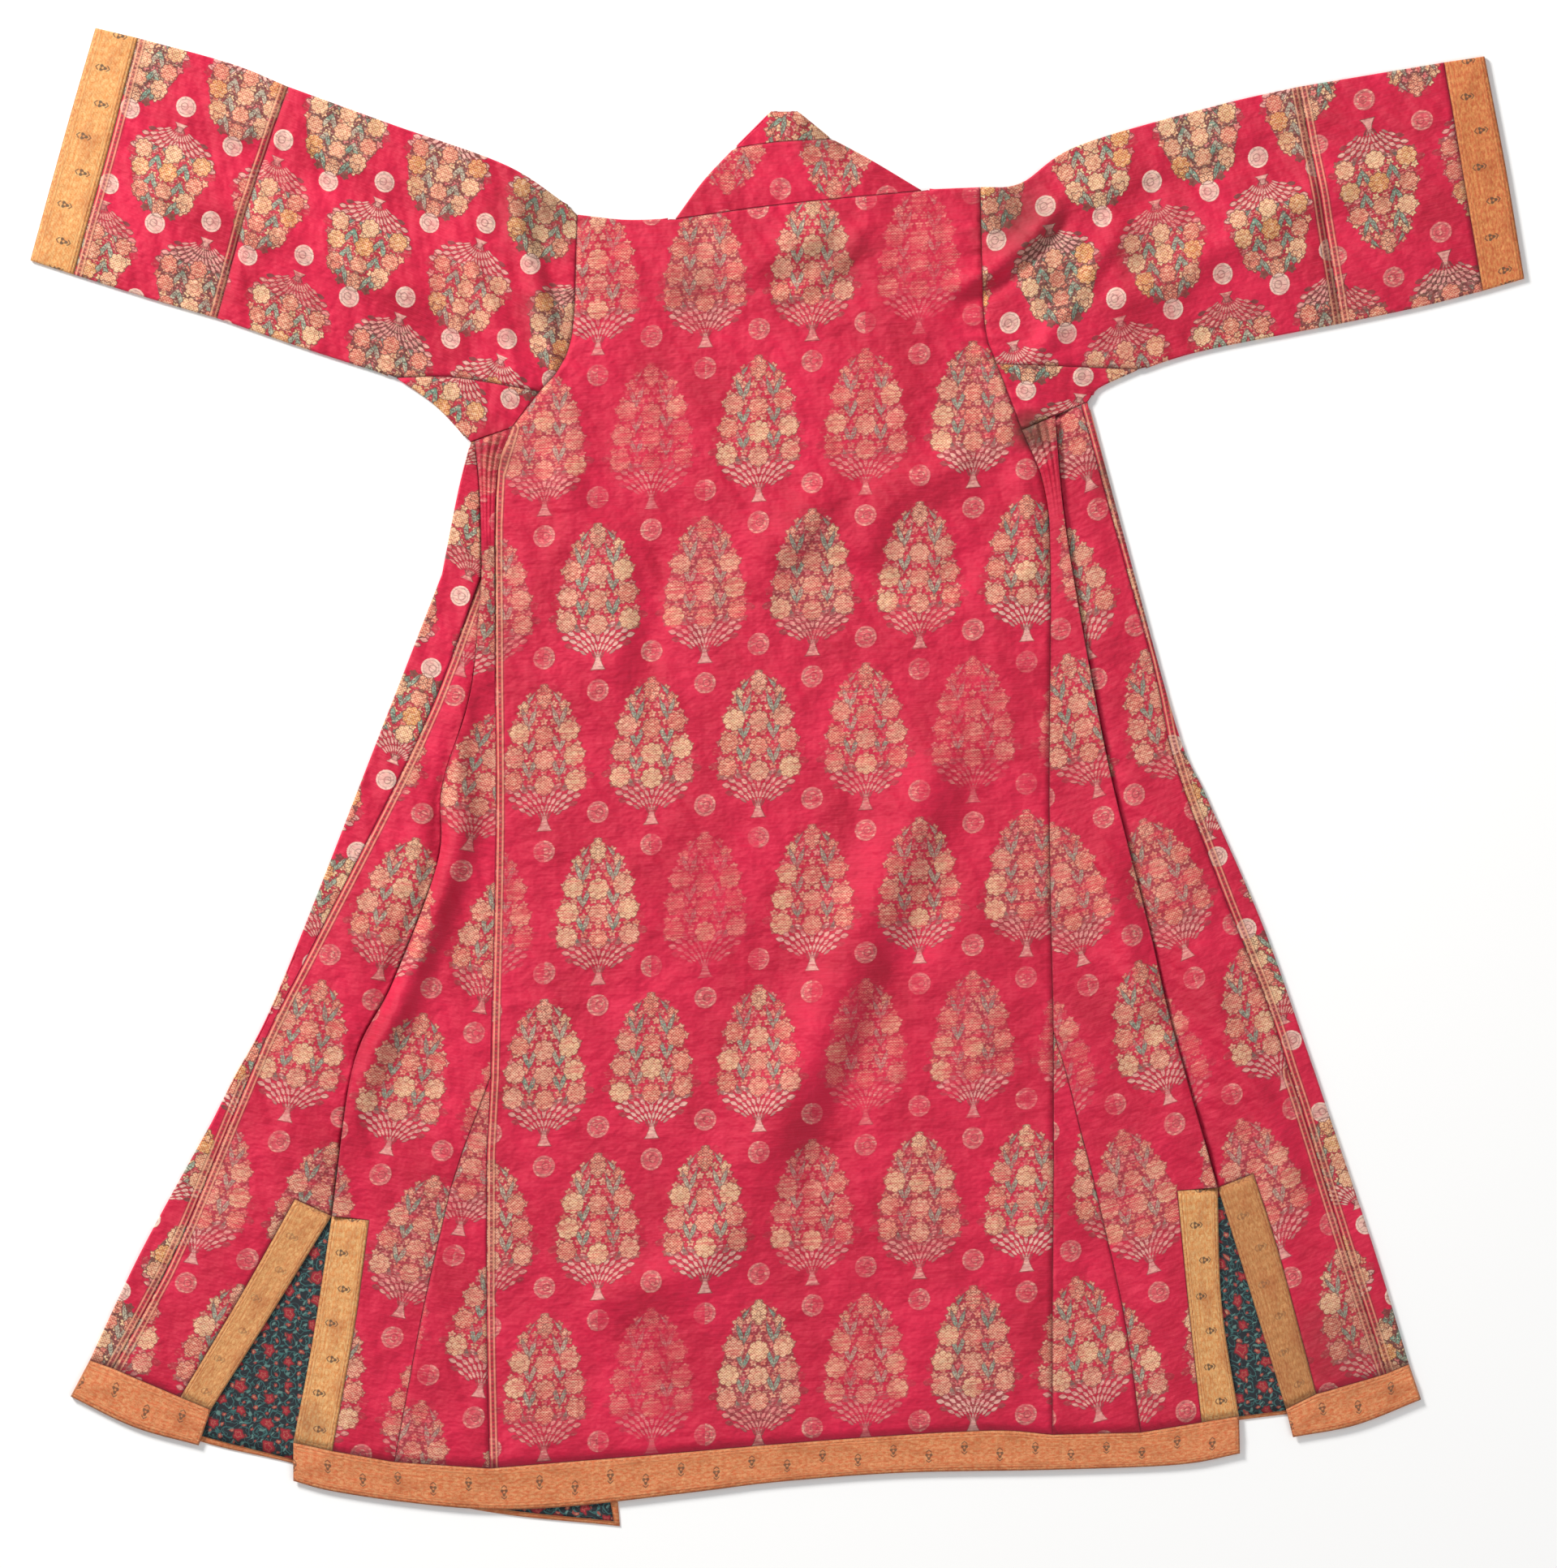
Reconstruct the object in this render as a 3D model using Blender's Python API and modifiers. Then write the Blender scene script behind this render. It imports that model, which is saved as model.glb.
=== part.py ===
"""A silk coat laid face down on a flat surface, its back up and its sleeves spread.

Run with: blender --background --python part.py

The coat is two layers of cloth. The fronts lie underneath, wrap round the outer folds and show as
slivers on top. The back, its side panels and gores lie on them. Every piece is an open surface
between named seams, given its wall by Solidify. Tables are in millimetres, X to the right of the
photograph, Y towards the shoulders, Z up from the surface that the coat lies on.
"""
import math

import bmesh
import bpy
import numpy as np

# Driving dimensions, in millimetres
WALL = 1.4                 # silk, its quilted backing and lining, pressed together
LINING_WALL = 1.0          # printed cotton where it shows inside the slits
SEAM_GAP = 0.3             # between neighbouring pieces
TURN = 1.5                 # plan radius of an outer fold
TURN_STEPS = 6
LOWER_LEVEL = WALL / 2     # middle of the layer on the surface
UPPER_LEVEL = 4.0          # middle of the layer that shows, before its folds
LINING_LEVEL = 2.2
BODY_RISE = 3.0            # how far the back stands off the fronts, away from its edges
EDGE_REACH = 70.0          # width over which that rise falls to nothing at an edge
APEX_STEP = 14.0           # where a pointed panel starts, below its point
UNDER_COLUMNS = 12
STRIP_STEPS = {"left": 4, "right": 3}    # across the strip that turns over each shoulder
MM = 0.001

COLLECTION = "silk_coat"

# Seams and edges. Columns: name, steps along it, route (x, y), and True where a point starts it
SEAMS = [
    ("shoulder_left", 3, [(-197, 554), (-150, 549), (-108, 550)], False),
    ("shoulder_end_left", 1, [(-108, 550), (-100, 550)], False),
    ("neck", 10, [(-100, 550), (3, 564), (142, 578)], False),
    ("shoulder_end_right", 1, [(142, 578), (150, 579)], False),
    ("shoulder_right", 2, [(150, 579), (200, 581)], False),
    ("armhole_left", 8, [(-197, 554), (-201, 446), (-213, 406), (-234, 380)], False),
    ("armhole_low_left", 3, [(-234, 380), (-262, 344)], False),
    ("armhole_right", 8, [(200, 581), (204, 450), (216, 407)], False),
    ("armhole_low_right", 3, [(216, 407), (228, 376), (241, 342)], False),

    ("back_seam_left", 13, [(-262, 344), (-277, 290), (-278, 137), (-277, -45), (-282, -294)], False),
    ("back_seam_right", 13, [(241, 342), (263, 285), (269, 206), (268, -34), (272, -250)], False),
    ("back_low_left", 3, [(-282, -294), (-286, -370)], True),
    ("back_slit_left", 2, [(-286, -370), (-286, -406)], False),
    ("back_hem_left", 5, [(-286, -406), (-286, -540), (-283, -680)], False),
    ("back_low_right", 3, [(272, -250), (272, -340)], True),
    ("back_slit_right", 2, [(272, -340), (272, -380)], False),
    ("back_hem_right", 5, [(272, -380), (271, -500), (271, -647)], False),
    ("gore_left", 3, [(-282, -294), (-296, -332), (-309, -366)], True),
    ("gore_slit_left", 2, [(-309, -366), (-322, -406)], False),
    ("gore_hem_left", 5, [(-322, -406), (-349, -525), (-377, -674)], False),
    ("gore_right", 3, [(272, -250), (287, -300), (298, -345)], True),
    ("gore_slit_right", 2, [(298, -345), (309, -386)], False),
    ("gore_hem_right", 5, [(309, -386), (341, -526), (358, -645)], False),

    ("side_top_left", 14, [(-298, 331.4), (-262, 344)], False),
    ("side_top_right", 14, [(241, 342), (273.5, 356)], False),
    ("pleat_high_left", 4, [(-298, 331.4), (-293, 278), (-291, 200)], False),
    ("pleat_left", 12, [(-291, 200), (-302, 83), (-330, -10), (-334, -83), (-378, -201),
                        (-417, -282), (-439, -432)], True),
    ("pleat_right", 16, [(273.5, 356), (282, 260), (300, 150), (329, 0), (368, -154), (386, -234),
                         (434, -404)], False),
    ("front_seam_left", 12, [(-291, 200), (-349, 48), (-455, -161), (-496, -240), (-522, -300)],
     True),
    ("front_slit_seam_left", 2, [(-522, -300), (-538, -338)], False),
    ("front_hem_seam_left", 5, [(-538, -338), (-594, -470), (-654, -582)], False),
    ("front_seam_right", 16, [(299.5, 367.2), (335, 238), (372, 105), (391, 18), (437, -108),
                              (482, -220), (505, -290)], False),
    ("front_slit_seam_right", 2, [(505, -290), (516, -323)], False),
    ("front_hem_seam_right", 5, [(516, -323), (562, -470), (600, -587)], False),
    ("sliver_top_left", 2, [(-302, 330), (-298, 331.4)], False),
    ("front_side_top_right", 4, [(273.5, 356), (299.5, 367.2)], False),
    ("sliver_top_right", 2, [(299.5, 367.2), (306, 370)], False),

    ("outline_high_left", 4, [(-302, 330), (-314, 282), (-330, 200)], False),
    ("outline_left", 12, [(-330, 200), (-390, 46), (-491, -210), (-537, -300)], False),
    ("outline_slit_left", 2, [(-537, -300), (-556, -338)], False),
    ("outline_hem_left", 5, [(-556, -338), (-626, -466), (-677, -574)], False),
    ("outline_right", 16, [(306, 370), (341, 238), (394, 46), (422, -18), (478, -146),
                           (529, -290)], False),
    ("outline_slit_right", 2, [(529, -290), (540, -323)], False),
    ("outline_hem_right", 5, [(540, -323), (588, -466), (622, -578)], False),

    ("slit_top_outer_left", 2, [(-475, -415), (-439, -432)], False),
    ("slit_seam_outer_left", 5, [(-475, -415), (-526, -506), (-588, -610)], False),
    ("slit_edge_outer_left", 5, [(-439, -432), (-503, -536), (-558, -623)], False),
    ("slit_top_inner_left", 2, [(-439, -432), (-402, -436)], False),
    ("slit_edge_inner_left", 5, [(-439, -432), (-458, -555), (-477, -655)], False),
    ("slit_seam_inner_left", 5, [(-402, -436), (-416, -540), (-438, -663)], False),
    ("slit_top_inner_right", 2, [(394, -407), (434, -404)], False),
    ("slit_seam_inner_right", 5, [(394, -407), (405, -519), (418, -635)], False),
    ("slit_edge_inner_right", 5, [(434, -404), (438, -519), (455, -629)], False),
    ("slit_top_outer_right", 2, [(434, -404), (469, -390)], False),
    ("slit_edge_outer_right", 5, [(434, -404), (463, -497), (501, -622)], False),
    ("slit_seam_outer_right", 5, [(469, -390), (494, -468), (531, -607)], False),

    ("hem_slit_left", 2, [(-477, -655), (-438, -663)], False),
    ("hem_side_left", 14, [(-438, -663), (-377, -674)], False),
    ("hem_gore_left", 3, [(-377, -674), (-283, -680)], False),
    ("hem_back", 17, [(-283, -680), (-122, -667), (42, -653), (205, -643), (271, -647)], False),
    ("hem_gore_right", 3, [(271, -647), (358, -645)], False),
    ("hem_side_right", 14, [(358, -645), (418, -635)], False),
    ("hem_slit_right", 2, [(418, -635), (455, -629)], False),
    ("hem_end_left", 2, [(-477, -655), (-477, -693)], False),
    ("hem_end_right", 2, [(455, -629), (456, -666)], False),
    ("front_hem_left", 2, [(-677, -574), (-654, -582)], False),
    ("front_side_hem_left", 4, [(-654, -582), (-588, -610)], False),
    ("front_slit_hem_left", 2, [(-588, -610), (-558, -623)], False),
    ("front_hem_edge_left", 8, [(-696, -610), (-634, -640), (-570, -658)], False),
    ("front_hem_fold_left", 2, [(-677, -574), (-696, -610)], False),
    ("front_hem_end_left", 2, [(-558, -623), (-570, -658)], False),
    ("front_slit_hem_right", 2, [(501, -622), (531, -607)], False),
    ("front_side_hem_right", 4, [(531, -607), (600, -587)], False),
    ("front_hem_right", 2, [(600, -587), (622, -578)], False),
    ("front_hem_edge_right", 8, [(508, -650), (570, -638), (634, -613)], False),
    ("front_hem_fold_right", 2, [(622, -578), (634, -613)], False),
    ("front_hem_end_right", 2, [(501, -622), (508, -650)], False),

    ("gusset_seam_left", 6, [(-375, 394), (-318, 394), (-234, 380)], False),
    ("gusset_fold_left", 2, [(-375, 394), (-338, 368), (-308, 337)], False),
    ("gusset_hook_left", 1, [(-308, 337), (-302, 330)], False),
    ("gusset_foot_left", 6, [(-302, 330), (-262, 344)], False),
    ("gusset_seam_right", 6, [(216, 407), (278, 405), (355, 402)], False),
    ("gusset_fold_right", 2, [(355, 402), (318, 385), (310, 376)], False),
    ("gusset_hook_right", 1, [(310, 376), (306, 370)], False),
    ("gusset_foot_right", 6, [(241, 342), (306, 370)], False),
    ("sleeve_top_left", 9, [(-482, 680), (-380, 643), (-268, 603), (-206, 563)], False),
    ("sleeve_crown_left", 1, [(-206, 563), (-197, 554)], False),
    ("sleeve_under_left", 3, [(-552, 453), (-462, 422), (-384, 397)], False),
    ("sleeve_tip_left", 1, [(-384, 397), (-375, 394)], False),
    ("piece_seam_left", 8, [(-482, 680), (-517, 575), (-552, 453)], False),
    ("forearm_top_left", 5, [(-630, 728), (-539, 703), (-482, 680)], False),
    ("forearm_under_left", 5, [(-693, 496), (-620, 473), (-552, 453)], False),
    ("cuff_seam_left", 8, [(-630, 728), (-656, 628), (-693, 496)], False),
    ("cuff_top_left", 2, [(-672, 738), (-630, 728)], False),
    ("cuff_under_left", 2, [(-736, 510), (-693, 496)], False),
    ("cuff_edge_left", 8, [(-672, 738), (-702, 634), (-736, 510)], False),
    ("sleeve_top_right", 10, [(200, 581), (240, 585), (297, 622), (435, 662), (514, 680)], False),
    ("sleeve_tip_right", 1, [(355, 402), (364, 404.6)], False),
    ("sleeve_under_right", 3, [(364, 404.6), (424, 422), (556, 448)], False),
    ("piece_seam_right", 8, [(514, 680), (536, 565), (556, 448)], False),
    ("forearm_top_right", 5, [(514, 680), (657, 704)], False),
    ("forearm_under_right", 5, [(556, 448), (632, 464), (695, 480)], False),
    ("cuff_seam_right", 8, [(657, 704), (676, 590), (695, 480)], False),
    ("cuff_top_right", 2, [(657, 704), (697, 710)], False),
    ("cuff_under_right", 2, [(695, 480), (736, 492)], False),
    ("cuff_edge_right", 8, [(697, 710), (718, 600), (736, 492)], False),

    ("collar_fold_left", 5, [(-100, 550), (-72, 588), (-42, 620)], False),
    ("collar_fold_right", 5, [(142, 578), (92, 608), (53, 629)], False),
    ("collar_seam", 10, [(-42, 620), (0, 626), (53, 629)], False),
    ("collar_tip_left", 3, [(-42, 620), (-6, 656)], False),
    ("collar_tip_right", 3, [(53, 629), (20, 656)], False),
    ("collar_tip", 10, [(-6, 656), (20, 656)], False),
]

# Hidden edges of the layer underneath. Columns as above
UNDER_SEAMS = [
    ("collar_flap_left", 5, [(-48, 552), (-20, 595), (0, 625)], False),
    ("collar_flap_right", 5, [(92, 574), (40, 606), (8, 626)], False),
    ("tip_flap_left", 3, [(0, 625), (5, 656)], False),
    ("tip_flap_right", 3, [(8, 626), (9, 656)], False),
    ("collar_foot_left", 3, [(-100, 550), (-48, 552)], False),
    ("collar_foot_right", 3, [(92, 574), (142, 578)], False),
    ("collar_head_left", 3, [(-42, 620), (0, 625)], False),
    ("collar_head_right", 3, [(8, 626), (53, 629)], False),
    ("tip_head_left", 3, [(-6, 656), (5, 656)], False),
    ("tip_head_right", 3, [(9, 656), (20, 656)], False),
    ("band_start_left", 1, [(-100, 550), (-101, 528)], False),
    ("band_start_right", 1, [(142, 578), (142, 556)], False),
    ("band_seam_left", 39, [(-101, 528), (-82, 286), (-126, -114), (-166, -434), (-196, -694)], False),
    ("band_seam_right", 39, [(142, 556), (142, 286), (146, -114), (146, -640)], False),
    ("band_foot_left", 3, [(-196, -694), (-158, -702)], False),
    ("band_foot_right", 3, [(104, -637), (146, -640)], False),
    ("front_edge_left", 40, [(-48, 552), (-42, 286), (-86, -114), (-126, -434), (-158, -702)], False),
    ("front_edge_right", 40, [(92, 574), (102, 286), (106, -114), (104, -637)], False),
    ("under_hem_left", 12, [(-677, -574), (-560, -617), (-470, -640), (-295, -680), (-196, -694)],
     False),
    ("under_hem_right", 12, [(146, -640), (226, -631), (400, -606), (507, -592), (622, -578)], False),
    ("under_edge_left", 15, [(-696, -610), (-570, -654), (-477, -676), (-301, -721), (-155, -738)],
     False),
    ("under_edge_right", 15, [(106, -674), (226, -667), (407, -640), (507, -627), (634, -613)], False),
    ("under_end_left", 2, [(-158, -702), (-155, -738)], False),
    ("under_end_right", 2, [(104, -637), (106, -674)], False),
    ("lining_top_left", 12, [(-480, -392), (-400, -400), (-290, -570), (-176, -650)], False),
    ("lining_outer_left", 6, [(-480, -392), (-540, -520), (-598, -636)], False),
    ("lining_hem_left", 12, [(-598, -636), (-570, -648), (-477, -672), (-301, -716), (-161, -733)],
     False),
    ("lining_inner_left", 6, [(-176, -650), (-161, -733)], False),
    ("lining_top_right", 4, [(398, -376), (478, -368)], False),
    ("lining_inner_right", 6, [(398, -376), (402, -637)], False),
    ("lining_hem_right", 4, [(402, -637), (507, -623), (570, -617)], False),
    ("lining_outer_right", 6, [(478, -368), (510, -470), (570, -617)], False),
]

# Lower edge of the back's hem band, which takes its steps from the seam above it
HEM_EDGE = [(-477, -693), (-439, -703), (-366, -714), (-285, -721), (-203, -718), (-81, -704),
            (1, -694), (123, -685), (274, -682), (395, -677), (456, -666)]
HEM_SEAMS = ["hem_slit_left", "hem_side_left", "hem_gore_left", "hem_back", "hem_gore_right",
             "hem_side_right", "hem_slit_right"]

# Largest folds of the layer on top. Columns: height (below 0 for a trough), half width, route
FOLDS = [
    (5.0, 26, [(196, 94), (106, -98), (26, -290), (-46, -418)]),
    (-3.0, 24, [(240, 60), (150, -130), (66, -320), (0, -450)]),
    (4.0, 24, [(74, 310), (0, 222), (-40, 170)]),
    (-3.0, 22, [(226, 262), (154, 190), (2, 206), (-60, 142)]),
    (3.5, 24, [(218, 318), (114, 278), (74, 190)]),
    (-2.5, 26, [(98, 520), (34, 486), (-22, 462)]),
    (-2.5, 20, [(-118, 246), (-126, 58)]),
    (3.0, 22, [(-46, -400), (-70, -474), (-142, -506), (-206, -514)]),
    (4.0, 16, [(-296, 120), (-318, 30), (-316, -60), (-362, -200), (-404, -290), (-418, -380)]),
    (-2.8, 10, [(-312, 100), (-336, -20), (-346, -90), (-392, -210), (-432, -300)]),
    (4.0, 18, [(314, -34), (346, -178), (372, -250)]),
    (-2.5, 12, [(338, -34), (372, -160), (400, -270), (424, -360)]),
    (3.5, 18, [(386, -138), (482, -330), (514, -418)]),
    (-2.0, 20, [(298, -418), (330, -514), (378, -586)]),
    (3.0, 22, [(-230, 330), (-190, 260), (-180, 150)]),
    (3.0, 20, [(-640, 600), (-560, 570), (-420, 500), (-300, 450)]),
    (-2.0, 16, [(-560, 640), (-440, 590), (-280, 540)]),
    (3.0, 20, [(640, 600), (520, 570), (400, 500), (280, 440)]),
    (-2.0, 16, [(560, 640), (430, 600), (270, 540)]),
]

# Gathers below the armpits. Columns: piece, waves, height, length down the panel
GATHERS = {
    "side_back_left": (4, 2.6, 90.0),
    "side_back_right": (4, 2.6, 90.0),
}

# Cloths. Columns: colour, roughness
CLOTHS = {
    "brocade": ((0.55, 0.015, 0.06), 0.5),
    "band_silk": ((0.62, 0.22, 0.05), 0.6),
    "lining": ((0.02, 0.07, 0.08), 0.85),
}


def clear_scene():
    for item in list(bpy.data.objects):
        bpy.data.objects.remove(item)


def smooth_route(points, samples=24):
    """Points along a smooth curve through the given ones."""
    knots = [np.array(point, dtype=float) for point in points]
    if len(knots) == 2:
        return np.array([knots[0] + (knots[1] - knots[0]) * k / samples for k in range(samples + 1)])
    padded = [2 * knots[0] - knots[1]] + knots + [2 * knots[-1] - knots[-2]]
    curve = []
    for before, start, end, after in zip(padded, padded[1:], padded[2:], padded[3:]):
        for k in range(samples):
            t = k / samples
            curve.append(0.5 * (2 * start + (end - before) * t
                                + (2 * before - 5 * start + 4 * end - after) * t ** 2
                                + (3 * start - before - 3 * end + after) * t ** 3))
    curve.append(knots[-1])
    return np.array(curve)


def even_points(curve, steps, from_point):
    """The curve cut into equal steps, after a first short one where a point starts it."""
    lengths = np.concatenate([[0.0], np.cumsum(np.linalg.norm(np.diff(curve, axis=0), axis=1))])
    if from_point:
        stations = np.concatenate([[0.0], np.linspace(APEX_STEP, lengths[-1], steps)])
    else:
        stations = np.linspace(0.0, lengths[-1], steps + 1)
    return np.column_stack([np.interp(stations, lengths, curve[:, axis]) for axis in (0, 1)])


ROUTES = {}
for seam_name, seam_steps, seam_route, pointed_start in SEAMS + UNDER_SEAMS:
    ROUTES[seam_name] = even_points(smooth_route(seam_route), seam_steps, pointed_start)


def straight(start, end, steps):
    return np.array([start + (end - start) * k / steps for k in range(steps + 1)])


def add_worked_out_routes():
    """Edges that take their points from the seams beside them."""
    seam_x = np.concatenate([ROUTES[name][(1 if index else 0):, 0]
                             for index, name in enumerate(HEM_SEAMS)])
    edge = smooth_route(HEM_EDGE)
    seam_x[0] = edge[0, 0]
    seam_x[-1] = edge[-1, 0]
    ROUTES["hem_edge"] = np.column_stack([seam_x, np.interp(seam_x, edge[:, 0], edge[:, 1])])
    for side in ("left", "right"):
        armhole = ROUTES["armhole_" + side]
        band = ROUTES["band_seam_" + side]
        ROUTES["armhole_start_" + side] = armhole[:2]
        ROUTES["armhole_rest_" + side] = armhole[1:]
        ends = (armhole[1], band[0]) if side == "left" else (band[0], armhole[1])
        ROUTES["strip_foot_" + side] = straight(*ends, STRIP_STEPS[side])
        ROUTES["front_top_" + side] = straight(*ends, UNDER_COLUMNS)


add_worked_out_routes()


def distance_to(route, points):
    """Plan distance of each point to a route, and how far along it the nearest place is, 0 to 1."""
    nearest = np.full(len(points), 1e9)
    along = np.zeros(len(points))
    count = len(route) - 1
    for index, (start, end) in enumerate(zip(route, route[1:])):
        run = end - start
        t = np.clip(((points - start) @ run) / (run @ run), 0.0, 1.0)
        gap = np.linalg.norm(points - start - t[:, None] * run, axis=1)
        closer = gap < nearest
        nearest[closer] = gap[closer]
        along[closer] = (index + t[closer]) / count
    return nearest, along


def ease(value):
    """0 to 1, level at both ends."""
    value = np.clip(value, 0.0, 1.0)
    return value * value * (3 - 2 * value)


# Edges where the upper layer comes down to its lowest level
EDGE_NAMES = ["outline_high_left", "outline_left", "outline_slit_left", "outline_hem_left",
              "outline_right", "outline_slit_right", "outline_hem_right", "hem_edge",
              "collar_tip", "collar_tip_left", "collar_tip_right", "collar_fold_left",
              "collar_fold_right", "shoulder_left", "shoulder_right", "slit_edge_outer_left",
              "slit_edge_inner_left", "slit_edge_inner_right", "slit_edge_outer_right",
              "front_hem_edge_left", "front_hem_edge_right", "gusset_fold_left",
              "gusset_fold_right", "sleeve_top_left", "sleeve_under_left", "forearm_top_left",
              "forearm_under_left", "cuff_top_left", "cuff_under_left", "cuff_edge_left",
              "sleeve_top_right", "sleeve_under_right", "forearm_top_right",
              "forearm_under_right", "cuff_top_right", "cuff_under_right", "cuff_edge_right"]


def lift(points):
    """How far the upper layer stands above its lowest level, from the rise and the folds."""
    edge = np.full(len(points), 1e9)
    for edge_name in EDGE_NAMES:
        edge = np.minimum(edge, distance_to(ROUTES[edge_name], points)[0])
    inside = ease(edge / EDGE_REACH)
    height = BODY_RISE * inside
    for peak, half_width, route in FOLDS:
        gap, along = distance_to(smooth_route(route, 6), points)
        taper = ease(along * 5) * ease((1 - along) * 5)
        height += peak * np.exp(-(gap / half_width) ** 2) * taper * inside
    return np.maximum(height, 0.0)


def side_points(names):
    """Points of a side made of one or more seams, and the inset of each of its steps."""
    points = []
    insets = []
    for name in names:
        kind, _, seam_name = name.rpartition(":")
        if seam_name.startswith("-"):
            route = ROUTES[seam_name[1:]][::-1]
        else:
            route = ROUTES[seam_name]
        start = 1 if points else 0
        points.extend(route[start:])
        inset = TURN if kind == "fold" else SEAM_GAP / 2
        insets.extend([inset] * (len(route) - 1))
    return np.array(points), np.array(insets)


def inset_ring(ring, amounts):
    """The closed outline moved inwards, each side by its own amount."""
    moved = ring.copy()
    count = len(ring)
    for index in range(count):
        before = ring[index] - ring[index - 1]
        after = ring[(index + 1) % count] - ring[index]
        normals = []
        for run in (before, after):
            normals.append(np.array([run[1], -run[0]]) / np.linalg.norm(run))
        wanted = np.array([amounts[index - 1], amounts[index]])
        matrix = np.array(normals)
        if abs(np.linalg.det(matrix)) > 0.2:
            step = np.linalg.solve(matrix, wanted)
        else:
            step = (normals[0] * wanted[0] + normals[1] * wanted[1]) / 2
        limit = 4 * max(wanted.max(), 1e-6)
        length = np.linalg.norm(step)
        if length > limit:
            step *= limit / length
        moved[index] = ring[index] + step
    return moved


class Panel:
    """A grid of points between four sides, and the rows or columns where it turns under."""

    def __init__(self, left, right, top, bottom, level, pointed=False, gathers=None):
        self.left, left_inset = side_points(left)
        self.right, right_inset = side_points(right)
        self.bottom, bottom_inset = side_points(bottom)
        if pointed:
            self.left, left_inset = self.left[1:], left_inset[1:]
            self.right, right_inset = self.right[1:], right_inset[1:]
            fractions = np.linspace(0.0, 1.0, len(self.bottom))[:, None]
            self.top = self.left[0] + (self.right[0] - self.left[0]) * fractions
            top_inset = np.zeros(len(self.bottom) - 1)
        else:
            self.top, top_inset = side_points(top)
        rows, columns = len(self.left), len(self.top)
        if (len(self.right), len(self.bottom)) != (rows, columns):
            raise ValueError(f"sides differ: {left} {rows}, {right} {len(self.right)}, "
                             f"{top} {columns}, {bottom} {len(self.bottom)}")
        ring = np.concatenate([self.top[:-1], self.right[:-1], self.bottom[:0:-1], self.left[:0:-1]])
        amounts = np.concatenate([top_inset, right_inset, bottom_inset[::-1], left_inset[::-1]])
        ring = inset_ring(ring, amounts)
        self.top = ring[:columns]
        self.right = ring[columns - 1:columns + rows - 1]
        self.bottom = ring[columns + rows - 2:2 * columns + rows - 2][::-1]
        self.left = np.concatenate([ring[2 * columns + rows - 3:], ring[:1]])[::-1]
        self.insets = {"left": left_inset, "right": right_inset, "top": top_inset,
                       "bottom": bottom_inset}
        self.grid = self.fill(rows, columns, level, gathers)

    def fill(self, rows, columns, level, gathers):
        u = np.linspace(0.0, 1.0, columns)[None, :, None]
        v = np.linspace(0.0, 1.0, rows)[:, None, None]
        across = self.left[:, None] * (1 - u) + self.right[:, None] * u
        down = self.top[None] * (1 - v) + self.bottom[None] * v
        corners = ((self.top[0] * (1 - u) + self.top[-1] * u) * (1 - v)
                   + (self.bottom[0] * (1 - u) + self.bottom[-1] * u) * v)
        plan = (across + down - corners).reshape(-1, 2)
        height = np.full(len(plan), level)
        if level == UPPER_LEVEL:
            height = height + lift(plan)
        if gathers:
            waves, wave_height, length = gathers
            along = np.tile(np.linspace(0.0, 1.0, columns), rows)
            from_top = np.repeat(np.linalg.norm(self.left - self.left[0], axis=1), columns)
            wave = (0.5 - 0.5 * np.cos(2 * math.pi * waves * along)) * np.sin(math.pi * along)
            height += wave_height * wave * (1 - ease(from_top / length))
        return np.column_stack([plan, height]).reshape(rows, columns, 3)

    def folded_edges(self, side):
        """Each stretch of a side that turns under: its grid points, and their inner neighbours."""
        edge, inner = {"left": (self.grid[:, 0], self.grid[:, 1]),
                       "right": (self.grid[:, -1], self.grid[:, -2]),
                       "top": (self.grid[0], self.grid[1]),
                       "bottom": (self.grid[-1], self.grid[-2])}[side]
        stretches = []
        for step in np.nonzero(self.insets[side] == TURN)[0]:
            if stretches and stretches[-1][1] == step:
                stretches[-1][1] = step + 1
            else:
                stretches.append([step, step + 1])
        return [(edge[first:last + 1], inner[first:last + 1]) for first, last in stretches]


def turn_grid(upper, lower, outward_hint):
    """The half round cloth between the two layers at an outer fold."""
    upper_edge, upper_inner = upper
    lower_edge, _ = lower
    middle = (upper_edge + lower_edge) / 2
    half = (upper_edge - lower_edge) / 2
    run = np.gradient(middle[:, :2], axis=0)
    outward = np.column_stack([run[:, 1], -run[:, 0]])
    outward /= np.linalg.norm(outward, axis=1)[:, None]
    if (outward[len(outward) // 2] @ np.array(outward_hint)) < 0:
        outward = -outward
    for end in (0, -1):
        # At its ends the fold runs out along the seam that it meets
        along = (upper_edge[end] - upper_inner[end])[:2]
        along /= np.linalg.norm(along)
        outward[end] = along / max(along @ outward[end], 0.35)
    columns = []
    for k in range(TURN_STEPS + 1):
        angle = math.pi * k / TURN_STEPS
        point = middle + half * math.cos(angle)
        point[:, :2] += outward * TURN * math.sin(angle)
        columns.append(point)
    return np.array(columns)


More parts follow.
